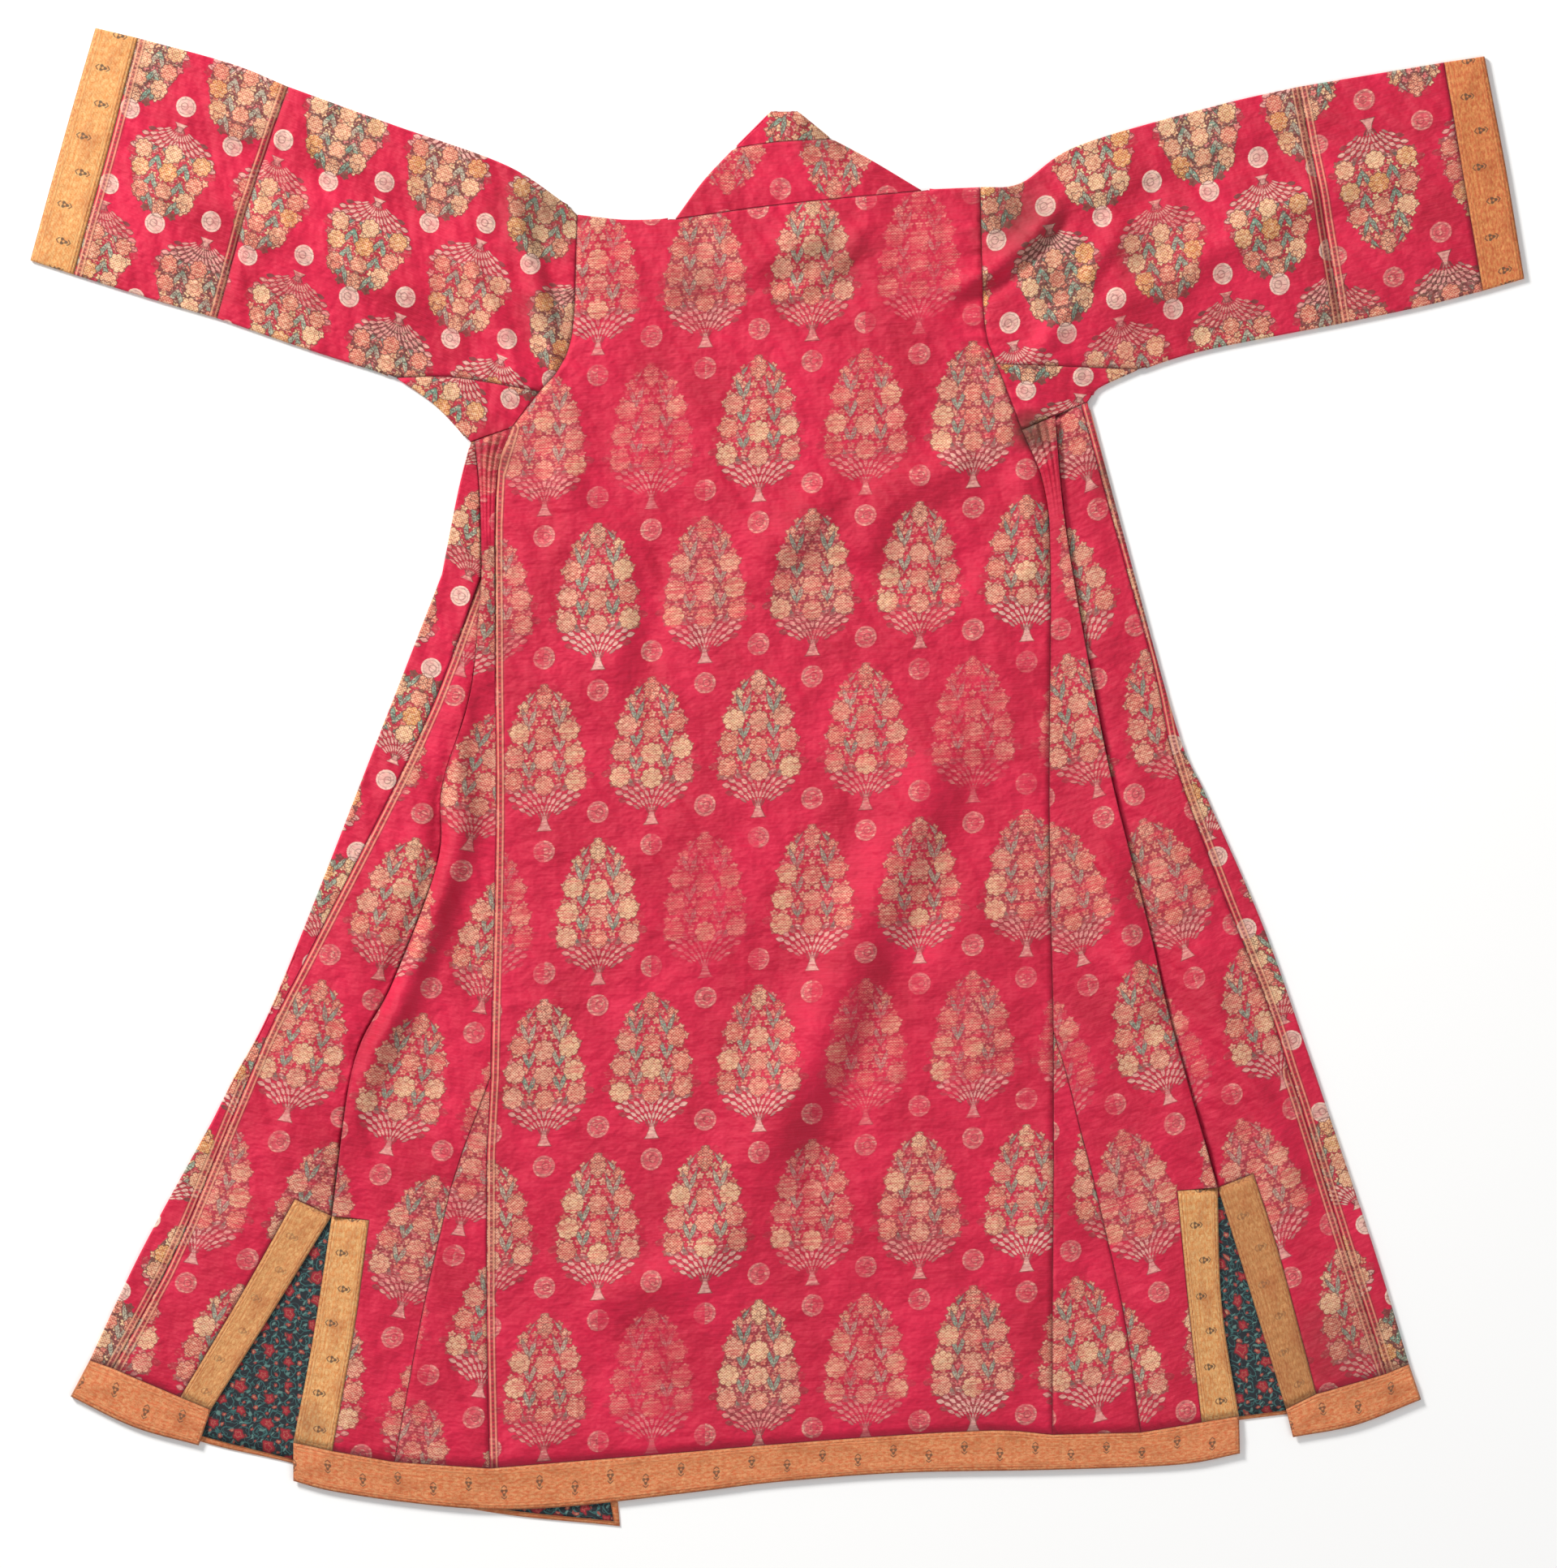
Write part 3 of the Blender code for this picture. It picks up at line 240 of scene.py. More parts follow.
# Folds of the layer on top. Columns: height (below 0 for a trough), half width, route
FOLDS = [
    (13.0, 30, [(196, 94), (106, -98), (26, -290), (-46, -418)]),
    (-5.0, 22, [(236, 64), (150, -130), (66, -320), (0, -450)]),
    (9.0, 22, [(74, 310), (0, 222), (-40, 170)]),
    (-5.0, 18, [(226, 262), (154, 190), (2, 206), (-60, 142)]),
    (8.0, 22, [(218, 318), (114, 278), (74, 190)]),
    (-5.0, 20, [(98, 520), (34, 486), (-22, 462)]),
    (5.0, 20, [(60, 545), (10, 525), (-60, 480)]),
    (-4.5, 16, [(-118, 246), (-126, 58)]),
    (5.0, 18, [(-150, 250), (-160, 70)]),
    (8.0, 20, [(-46, -400), (-70, -474), (-142, -506), (-206, -514)]),
    (9.0, 13, [(-296, 120), (-316, 30), (-312, -60), (-360, -200), (-402, -290), (-418, -380)]),
    (-5.0, 8, [(-304, 100), (-331, -20), (-338, -90), (-384, -210), (-424, -300)]),
    (9.0, 15, [(314, -34), (346, -178), (372, -250)]),
    (-5.0, 9, [(338, -34), (374, -160), (402, -270), (428, -370)]),
    (8.0, 16, [(386, -138), (482, -330), (514, -418)]),
    (-5.0, 18, [(298, -418), (330, -514), (378, -586)]),
    (7.0, 20, [(-230, 330), (-190, 260), (-180, 150)]),
    (7.0, 20, [(-640, 600), (-560, 570), (-420, 500), (-300, 450)]),
    (-5.0, 15, [(-560, 640), (-440, 590), (-280, 540)]),
    (7.0, 20, [(640, 600), (520, 570), (400, 500), (280, 440)]),
    (-5.0, 15, [(560, 640), (430, 600), (270, 540)]),
    (7.0, 9, [(-276, 590), (-246, 520), (-226, 440), (-216, 380)]),
    (-4.0, 8, [(-262, 590), (-230, 520), (-212, 440)]),
    (6.0, 9, [(-330, 560), (-300, 500), (-262, 420), (-244, 370)]),
    (8.0, 9, [(296, 600), (262, 545), (212, 500), (150, 470)]),
    (-4.5, 8, [(300, 570), (262, 525), (214, 482), (160, 456)]),
    (6.0, 10, [(96, 560), (66, 510), (20, 478), (-30, 470)]),
    (6.0, 9, [(350, 560), (310, 500), (272, 440), (240, 400)]),
    (5.0, 8, [(-216, 320), (-206, 250), (-230, 190)]),
    (5.0, 9, [(230, 330), (250, 250), (246, 170)]),
]

# Edges that lie over or under the piece beside them. Columns: seams, height, reach
OVERLAPS = {
    "side_back_left": (["pleat_high_left", "pleat_left"], 3.0, 16.0),
    "side_front_left": (["pleat_left"], -2.2, 14.0),
    "front_left": (["pleat_high_left"], -1.5, 10.0),
    "side_back_right": (["pleat_right"], 2.6, 16.0),
    "side_front_right": (["pleat_right"], -2.2, 14.0),
}

# Gathers below the armpits. Columns: piece, waves, height, length down the panel
GATHERS = {
    "side_back_left": (4, 2.2, 100.0),
    "side_back_right": (4, 2.2, 100.0),
}


def feed(tree, value, socket):
    """Sets a socket, or links it where the value comes from another node."""
    if isinstance(value, Number):
        tree.links.new(value.socket, socket)
    elif isinstance(value, bpy.types.NodeSocket):
        tree.links.new(value, socket)
    else:
        socket.default_value = value


class Number:
    """A number in a material's node tree, so that patterns read as arithmetic."""

    def __init__(self, tree, socket):
        self.tree = tree
        self.socket = socket

    def math(self, operation, *others, clamp=False):
        node = self.tree.nodes.new("ShaderNodeMath")
        node.operation = operation
        node.use_clamp = clamp
        for place, value in enumerate((self,) + others):
            feed(self.tree, value, node.inputs[place])
        return Number(self.tree, node.outputs[0])

    def __add__(self, other):
        return self.math("ADD", other)

    def __sub__(self, other):
        return self.math("SUBTRACT", other)

    def __rsub__(self, other):
        return self.math("MULTIPLY_ADD", -1.0, other)

    def __mul__(self, other):
        return self.math("MULTIPLY", other)

    def __truediv__(self, other):
        return self.math("DIVIDE", other)

    def __abs__(self):
        return self.math("ABSOLUTE")

    __radd__ = __add__
    __rmul__ = __mul__

    def floor(self):
        return self.math("FLOOR")

    def wrap(self, size):
        """The number repeated every size, from minus half of it to half of it."""
        return self.math("WRAP", size / 2, -size / 2)

    def wave(self, length, start=0.0):
        """A cosine of the given wave length."""
        return self.math("MULTIPLY_ADD", 2 * math.pi / length, start).math("COSINE")


def least(first, *others):
    for other in others:
        first = first.math("MINIMUM", other)
    return first


def most(first, *others):
    for other in others:
        first = first.math("MAXIMUM", other)
    return first


def distance(across, up):
    return (across * across + up * up).math("SQRT")


def within(gap, blur=0.6):
    """1 where a signed distance is below 0 and 0 above it, soft over blur."""
    return gap.math("MULTIPLY_ADD", -1.0 / blur, 0.5, clamp=True)


def ramp(value, start, end):
    """0 at start and 1 at end."""
    scale = 1.0 / (end - start)
    return value.math("MULTIPLY_ADD", scale, -start * scale, clamp=True)


def nearest(value, size):
    """The number of the step of the given size that is nearest."""
    return (value / size + 0.5).floor()


def odd(whole):
    """1 for an odd whole number and 0 for an even one."""
    return abs(whole.math("MODULO", 2.0))


def lobes(across, up, count):
    """A wave round a middle, for scallops and petals."""
    return (across.math("ARCTAN2", up) * count).math("COSINE")


class Cloth:
    """One cloth material while its nodes are being made. Lengths are in millimetres."""

    def __init__(self, name):
        self.material = bpy.data.materials.new(name)
        self.material.use_nodes = True
        self.tree = self.material.node_tree
        self.shader = self.tree.nodes["Principled BSDF"]

    def place(self):
        """The cloth's own coordinates: across it and up it."""
        node = self.tree.nodes.new("ShaderNodeUVMap")
        node.uv_map = "cloth"
        split = self.tree.nodes.new("ShaderNodeSeparateXYZ")
        self.tree.links.new(node.outputs[0], split.inputs[0])
        across = Number(self.tree, split.outputs[0]) * 1000.0
        up = Number(self.tree, split.outputs[1]) * 1000.0
        return across, up

    def attribute(self, name):
        node = self.tree.nodes.new("ShaderNodeAttribute")
        node.attribute_name = name
        return Number(self.tree, node.outputs["Fac"])

    def vector(self, x, y, z=0.0):
        node = self.tree.nodes.new("ShaderNodeCombineXYZ")
        for place, value in enumerate((x, y, z)):
            feed(self.tree, value, node.inputs[place])
        return node.outputs[0]

    def noise(self, x, y, wide, tall, detail=2.0, seed=0.0):
        """Smooth noise from 0 to 1, with features of the given size."""
        node = self.tree.nodes.new("ShaderNodeTexNoise")
        node.noise_dimensions = "3D"
        feed(self.tree, self.vector(x * (1.0 / wide), y * (1.0 / tall), seed), node.inputs["Vector"])
        node.inputs["Scale"].default_value = 1.0
        node.inputs["Detail"].default_value = detail
        node.inputs["Roughness"].default_value = 0.6
        return Number(self.tree, node.outputs["Fac"])

    def chance(self, x, y, seed=0.0):
        """A fixed random number from 0 to 1 for each pair of whole numbers."""
        node = self.tree.nodes.new("ShaderNodeTexWhiteNoise")
        node.noise_dimensions = "3D"
        feed(self.tree, self.vector(x, y, seed), node.inputs["Vector"])
        return Number(self.tree, node.outputs["Value"])

    def mix(self, amount, under, over, blend="MIX"):
        """The colour over laid on the colour under."""
        node = self.tree.nodes.new("ShaderNodeMix")
        node.data_type = "RGBA"
        node.blend_type = blend
        node.clamp_factor = True
        feed(self.tree, amount, node.inputs[0])
        for place, value in ((6, under), (7, over)):
            feed(self.tree, (*value, 1.0) if isinstance(value, tuple) else value, node.inputs[place])
        return node.outputs[2]

    def layers(self, colour, *overlays):
        """Each overlay's colour laid on the ones before it. Columns: amount, colour"""
        for amount, over in overlays:
            colour = self.mix(amount, colour, over)
        return colour

    def finish(self, colour, rough, height, depth, sheen):
        """Joins the colour, the roughness and a relief in millimetres to the shader."""
        feed(self.tree, colour, self.shader.inputs["Base Color"])
        feed(self.tree, rough, self.shader.inputs["Roughness"])
        bump = self.tree.nodes.new("ShaderNodeBump")
        bump.inputs["Distance"].default_value = depth * MM
        bump.inputs["Strength"].default_value = 1.0
        feed(self.tree, height, bump.inputs["Height"])
        self.tree.links.new(bump.outputs[0], self.shader.inputs["Normal"])
        self.shader.inputs["Specular IOR Level"].default_value = 0.3
        self.shader.inputs["Sheen Weight"].default_value = sheen
        self.shader.inputs["Sheen Roughness"].default_value = 0.45
        return self.material


# Colours, linear
CRIMSON = (0.72, 0.008, 0.060)
CRIMSON_WORN = (0.76, 0.034, 0.100)
CRIMSON_DEEP = (0.50, 0.003, 0.032)
MADDER = (0.42, 0.035, 0.045)
OUTLINE = (0.075, 0.028, 0.022)
RUST = (0.52, 0.13, 0.07)
NIGHT = (0.050, 0.075, 0.055)
# Painted shade of folds and armpit hollows, mixed with soiling
PAINTED_SHADE_AND_SOIL = (0.085, 0.030, 0.016)
CREAM = (0.82, 0.58, 0.31)
PEACH = (0.74, 0.36, 0.23)
SALMON = (0.70, 0.21, 0.13)
OCHRE = (0.70, 0.34, 0.07)
ROSE = (0.68, 0.19, 0.18)
BLUSH = (0.80, 0.47, 0.40)
SHELL = (0.82, 0.56, 0.47)
SAGE = (0.46, 0.45, 0.33)
TEAL = (0.12, 0.35, 0.26)
GRAIN_DARK = (0.24, 0.05, 0.035)
GRAIN_PALE = (0.86, 0.62, 0.42)
SEAM_SHADE = (0.16, 0.01, 0.02)
SELVEDGE_LINE = (0.74, 0.34, 0.20)
SELVEDGE_DARK = (0.14, 0.03, 0.03)
BAND_PATCH = (0.42, 0.095, 0.025)
BAND_VINE = (0.52, 0.15, 0.03)
BAND_RAIL = (0.40, 0.11, 0.03)
BAND_SPRIG = (0.10, 0.06, 0.035)
# Painted shade along the seams of the bands
BAND_SEAM_SHADE = (0.14, 0.04, 0.02)
BAND_STITCH = (0.30, 0.07, 0.03)
# Painted shade and soiling on the bands
BAND_PAINTED_SHADE_AND_SOIL = (0.22, 0.085, 0.035)
PRINT_GROUND = (0.022, 0.026, 0.032)
PRINT_SCROLL = (0.06, 0.19, 0.18)
PRINT_LEAF = (0.14, 0.27, 0.24)
PRINT_BUD = (0.34, 0.06, 0.05)
PRINT_BUD_HEART = (0.55, 0.30, 0.18)
PRINT_RIM = (0.10, 0.03, 0.03)
PRINT_RED = (0.34, 0.022, 0.035)
PRINT_RING = (0.45, 0.16, 0.11)

# The flowering plant of each brocade, upright about its own middle, in millimetres
BACK_PLANT = {
    "cell": (105.5, 155.0), "half_width": 43.5, "widest": -14.0, "top": 72.0,
    "bottom": -60.0, "point": 0.20, "tier": 24.5, "lowest": -26.0, "tiers": 3,
    "column": 29.0, "centre_drop": 4.0, "rosette": 9.5, "leaf": 15.0, "leaf_long": 10.0,
    "leaf_wide": 2.2, "skirt": -33.0, "foot": (-75.0, -60.0, 7.5), "crown": (57.0, 8.0, 12.0),
    "sprig": (20.0, 47.0, 5.6), "disc": (0.0, 95.0, 10.8), "dot": 3.0, "wear": 0.85,
    "outline": 0.75, "cream": PEACH, "accent": CREAM, "shadow": 0.30, "disc_colour": ROSE,
    "disc_gap": 0.75,
}
SLEEVE_PLANT = {
    "cell": (107.4, 97.6), "half_width": 43.0, "widest": -6.0, "top": 47.0,
    "bottom": -42.0, "point": 0.08, "tier": 19.0, "lowest": -14.0, "tiers": 3,
    "column": 28.0, "centre_drop": 3.5, "rosette": 8.4, "leaf": 14.5, "leaf_long": 8.5,
    "leaf_wide": 2.4, "skirt": -20.0, "foot": (-49.0, -40.0, 7.0), "crown": (37.0, 9.0, 9.0),
    "sprig": (22.0, 31.0, 5.8), "disc": (6.7, 59.3, 10.0), "dot": 3.0, "wear": 0.25,
    "outline": 0.9, "cream": CREAM, "accent": OCHRE, "shadow": 0.6, "disc_colour": SHELL,
    "disc_gap": 0.25,
}
FRESH_BACK_PLANT = {
    **BACK_PLANT, "wear": 0.25, "cream": CREAM, "accent": OCHRE, "outline": 0.9, "shadow": 0.6,
}


def cells(x, y, wide, tall):
    """Staggered cells: the place from each cell's middle, and that middle."""
    row = nearest(y, tall)
    shift = odd(row) * (wide / 2)
    middle_x = nearest(x - shift, wide) * wide + shift
    middle_y = row * tall
    return x - middle_x, y - middle_y, middle_x, middle_y


def square(value):
    return value * value


def plant_edge(a, q, plant):
    """Signed distance to the whole plant: two half ovals, the upper one longer and pointed."""
    from_widest = q - plant["widest"]
    side = a * (1.0 / plant["half_width"])
    upper = most(from_widest, 0.0) / (plant["top"] - plant["widest"])
    lower = least(from_widest, 0.0) / (plant["widest"] - plant["bottom"])
    return (distance(side, upper + lower) + side * upper * plant["point"] - 1.0) * 34.0


# Small flowers and skirt leaves of every plant, in millimetres
FLORET_CELL = (9.4, 8.2)
FLORET_SIZE = 3.5
SKIRT_CELL = (6.8, 7.6)
SKIRT_REACH = 44.0         # how far from the foot a leaf has its cell's width
SKIRT_TURN = (0.87, 0.5)   # cosine and sine of each leaf's turn
SKIRT_LEAF = 2.5


def plants(cloth, x, y, plant):
    """The woven plants and discs: their colour, where they are, and their place in the rows."""
    wide, tall = plant["cell"]
    row = nearest(y, tall)
    shifted = x + odd(row) * (wide / 2)
    column = nearest(shifted, wide)
    side = shifted - column * wide
    q = y - row * tall
    a = abs(side)
    right = side.math("GREATER_THAN", 0.0)
    oval = plant_edge(a, q, plant)

    # Rosettes in three columns, edged with eight scallops
    outer = a.math("GREATER_THAN", plant["column"] / 2)
    level = q - plant["lowest"] + plant["centre_drop"] * (1.0 - outer)
    tier = most(least(nearest(level, plant["tier"]), plant["tiers"] - 1.0), 0.0)
    shade = cloth.chance(column * 7.0 + tier * 3.0 + outer * (1.0 + right), row, 1.0)
    across = a - outer * (plant["column"] + 2.0 - tier * tier * 1.7)
    up = level - tier * plant["tier"] + outer * (shade - 0.5) * 3.0
    scallops = abs(lobes(across, up, 4.0))
    centre_gap = distance(across, up)
    size = plant["rosette"] * (0.88 + shade * 0.14)
    rosette = centre_gap - size - scallops * 1.5

    # Leaf pairs between the columns
    v_up = (q - plant["lowest"] + plant["tier"] * 0.45).wrap(plant["tier"])
    v_along = ramp(v_up, -plant["leaf_long"], plant["leaf_long"])
    lean = abs(abs(a - plant["leaf"]) - v_along * 7.0)
    leaf = lean - (v_along * math.pi).math("SINE") * plant["leaf_wide"] - 0.35
    leaf = most(leaf, oval + 2.0, plant["skirt"] - q)

    # Small flowers fill the gaps, and each is whole, so that the plant's edge is scalloped
    floret_x, floret_y, middle_x, middle_y = cells(a, q, *FLORET_CELL)
    floret_shade = cloth.chance(middle_x + right * 3.0, middle_y + row * 50.0, 5.0)
    floret_gap = distance(floret_x, floret_y)
    floret = floret_gap - FLORET_SIZE - lobes(floret_x, floret_y, 5.0) * 0.8
    floret = most(floret, plant_edge(middle_x, middle_y, plant) + 1.0, plant["skirt"] - middle_y)

    # Leaves of the skirt fan out from the foot, whole as well
    from_foot = q - plant["foot"][0]
    fan = a.math("ARCTAN2", from_foot)
    out = distance(a, from_foot)
    leaf_side, leaf_out, middle_fan, middle_out = cells(fan * SKIRT_REACH, out, *SKIRT_CELL)
    middle_turn = middle_fan * (1.0 / SKIRT_REACH)
    root_x = middle_out * middle_turn.math("SINE")
    root_y = middle_out * middle_turn.math("COSINE") + plant["foot"][0]
    turn_cos, turn_sin = SKIRT_TURN
    skirt = abs(leaf_side * turn_cos - leaf_out * turn_sin) - SKIRT_LEAF
    skirt = skirt + square(leaf_out * turn_cos + leaf_side * turn_sin) * 0.12
    skirt = most(skirt, plant_edge(root_x, root_y, plant) - 0.5,
                 root_y - root_x * 0.30 - plant["skirt"])
    foot_low, foot_high, foot_half = plant["foot"]
    taper = ramp(q, foot_high, foot_low)
    foot = most(a - taper * taper * foot_half * 0.7 - foot_half * 0.3, q - foot_high, foot_low - q)

    # Crown and side sprigs
    crown_at, crown_wide, crown_tall = plant["crown"]
    crown = distance(a * (1.0 / crown_wide), (q - crown_at) * (1.0 / crown_tall)) * 9.0 - 9.0
    crown = crown + q.wave(6.0) * 0.9
    sprig_out, sprig_at, sprig_size = plant["sprig"]
    sprig_gap = distance(a - sprig_out, q - sprig_at)
    cup = least(crown, sprig_gap - sprig_size - lobes(a - sprig_out, q - sprig_at, 5.0) * 1.2)

    # Discs beyond the crown and the foot
    strip = nearest(x, wide / 2)
    disc_x = x - strip * (wide / 2)
    disc_y = (y - odd(strip) * tall).wrap(2 * tall)
    disc_shift, disc_at, disc_size = plant["disc"]
    disc_up = abs(disc_y + disc_shift) - disc_at
    reach = distance(disc_x, disc_up)
    disc = reach - disc_size
    curl = least(abs(distance(disc_x - 1.5, disc_up) - 3.4), abs(disc_up + disc_x * 0.3) + 0.2)
    disc_line = least(abs(reach - disc_size * 0.76) - 0.3, most(curl - 0.55, reach - disc_size * 0.7))

    # Colours, each element laid on the ones before it
    dots = x.wave(plant["dot"]) * y.wave(plant["dot"] * 0.9)
    ring = within(abs(centre_gap - plant["rosette"] * 0.5) - 0.35, 0.8)
    spokes = ramp(scallops, 0.35, 0.1) * ramp(centre_gap, 5.0, 6.0)
    bloom = cloth.layers(
        SALMON,
        (ramp(shade, 0.20, 0.60), plant["cream"]), (ramp(shade, 0.74, 0.80), plant["accent"]),
        (ramp(dots, 0.1, -0.6) * 0.7, RUST), (ramp(dots, 0.2, 0.7) * 0.7, GRAIN_PALE),
        (most(ring, spokes) * 0.6, MADDER))
    green = cloth.mix(cloth.chance(column, row * 3.0 + tier, 2.0), SAGE, TEAL)
    pale = cloth.mix(cloth.chance(column, row, 3.0), ROSE, BLUSH)
    small = cloth.layers(
        ROSE,
        (ramp(floret_shade, 0.1, 0.4), SALMON), (ramp(floret_shade, 0.4, 0.7), plant["cream"]),
        (within(floret_gap - 1.3) * 0.6, MADDER))
    fresh = ramp(cloth.chance(column, row, 11.0), 0.68, 0.78)
    grain = cloth.noise(x, y, 4.6, 2.0, 1.0, 12.0)
    colour = cloth.layers(
        cloth.mix(fresh * 0.7, MADDER, NIGHT),
        (within(floret), small), (within(skirt), pale), (within(foot), pale),
        (within(cup), bloom), (within(leaf), green),
        (within(lean - 0.3) * within(leaf) * 0.4, OUTLINE),
        (within(rosette), bloom), (within(disc), plant["disc_colour"]),
        (within(reach - disc_size * 0.7, 1.5) * plant["disc_gap"] * 0.6, CRIMSON),
        (ramp(grain, 0.52, 0.68) * 0.45, GRAIN_DARK), (ramp(grain, 0.46, 0.32) * 0.6, GRAIN_PALE))
    edges = least(abs(rosette + 0.2), most(abs(leaf - 0.1), rosette * -1.0), abs(cup + 0.2))
    edges = least(edges, abs(foot), most(least(abs(skirt), abs(floret)), rosette * -1.0))
    shapes = least(floret, skirt, foot, cup, leaf)
    shapes = least(shapes, most(rosette, oval - 6.0))
    lines = within(edges - 0.45, 0.8) * within(shapes - 0.8, 0.8) * plant["outline"]
    lines = most(lines, within(disc_line, 0.5) * within(disc) * 0.5)
    colour = cloth.mix(lines, colour, OUTLINE)
    covered = most(within(shapes, 0.8), within(disc), lines)
    covered = most(covered, within(oval + 3.0, 1.0) * (fresh * 0.4 + plant["shadow"]))
    return colour, covered, column, row


def brocade(name, plant):
    """Crimson silk with woven plants, worn along its weft."""
    cloth = Cloth(name)
    x, y = cloth.place()
    ragged = cloth.noise(x, y, 9.0, 0.9, 1.0, 5.0) - 0.5
    sway = cloth.noise(x, y, 60.0, 60.0, 1.0, 6.0) - 0.5
    woven_x = x + ragged * 1.5 + sway * 3.0
    woven_y = y + sway * 3.0
    colour, covered, column, row = plants(cloth, woven_x, woven_y, plant)

    # Wear takes whole stretches of weft away and shows the ground
    mood = cloth.chance(column, row, 4.0)
    streaks = cloth.noise(x, y, 34.0, 1.6, 3.0, 7.0)
    patches = cloth.noise(x, y, 26.0, 18.0, 2.0, 8.0)
    worn = ramp(streaks + patches * 0.8 + mood * 0.30, 0.98, 1.28) * plant["wear"]
    faded = cloth.mix((mood * mood * 0.45 + 0.12) * plant["wear"], colour, CRIMSON_WORN)

    # Ground: uneven dye, threads across and up
    cloud = cloth.noise(x, y, 90.0, 120.0, 3.0, 9.0)
    thread = cloth.noise(x, y, 30.0, 0.8, 2.0, 10.0)
    full = cloth.layers(
        CRIMSON_DEEP,
        (ramp(cloud, 0.35, 0.7), CRIMSON), (ramp(thread, 0.45, 0.8) * 0.5, CRIMSON_WORN),
        (covered * (1.0 - worn * 0.9), faded))

    # Selvedge lines, painted shade along the seams, and darkened patches of painted shade of folds
    # and armpit hollows, mixed with soiling
    full = cloth.layers(
        selvedge(cloth, full),
        (within(cloth.attribute("seam") - 0.8, 1.6) * 0.55, SEAM_SHADE),
        (ramp(cloth.attribute("painted_shade_and_soil") + patches * 0.5, 0.35, 1.1) * 0.75, PAINTED_SHADE_AND_SOIL))

    # Relief of the threads, the creases and the woven plants
    weave = x.wave(0.9) * 0.25 + y.wave(0.8) * 0.35 + thread * 0.8
    crease = cloth.noise(x + y * 0.6, y - x * 0.6, 26.0, 80.0, 1.0, 20.0)
    rumple = cloth.noise(x, y, 34.0, 26.0, 3.0, 21.0)
    weave = weave + rumple * 34.0 + crease * 42.0
    height = weave + covered * (1.0 - worn) * 0.9
    rough = covered * 0.12 + 0.50
    return cloth.finish(full, rough, height, 0.16, 0.1)


def selvedge(cloth, colour):
    """Pale lines beside a seam that is cut along the selvedge."""
    gap = cloth.attribute("selvedge")
    along = cloth.attribute("along")
    pair = least(abs(gap - 2.2), abs(gap - 6.8)) - 0.8
    rungs = most(abs(gap - 4.5) - 1.2, abs(along.wrap(4.2)) - 1.1)
    dark = least(abs(gap - 8.4) - 0.4, rungs)
    return cloth.layers(
        colour,
        (within(abs(gap - 4.5) - 2.0) * 0.5, MADDER), (within(dark, 0.6) * 0.6, SELVEDGE_DARK),
        (within(pair, 0.7) * 0.7, SELVEDGE_LINE))


# Bands. Columns: base colour, second colour, how strong their sprigs are
BANDS = {
    "band_cuff_left": ((0.72, 0.28, 0.075), (0.79, 0.45, 0.17), 0.9),
    "band_cuff_right": ((0.60, 0.13, 0.040), (0.76, 0.31, 0.10), 0.9),
    "band_silk": ((0.70, 0.165, 0.055), (0.80, 0.35, 0.15), 0.8),
    "band_slit_worn": ((0.46, 0.17, 0.050), (0.62, 0.30, 0.11), 0.45),
    "band_slit_faded": ((0.66, 0.25, 0.080), (0.82, 0.44, 0.17), 0.40),
    "band_slit": ((0.70, 0.27, 0.075), (0.80, 0.47, 0.19), 0.9),
}


SPRIG_STEP = 35.0
BAND_WIDTH = 38.0


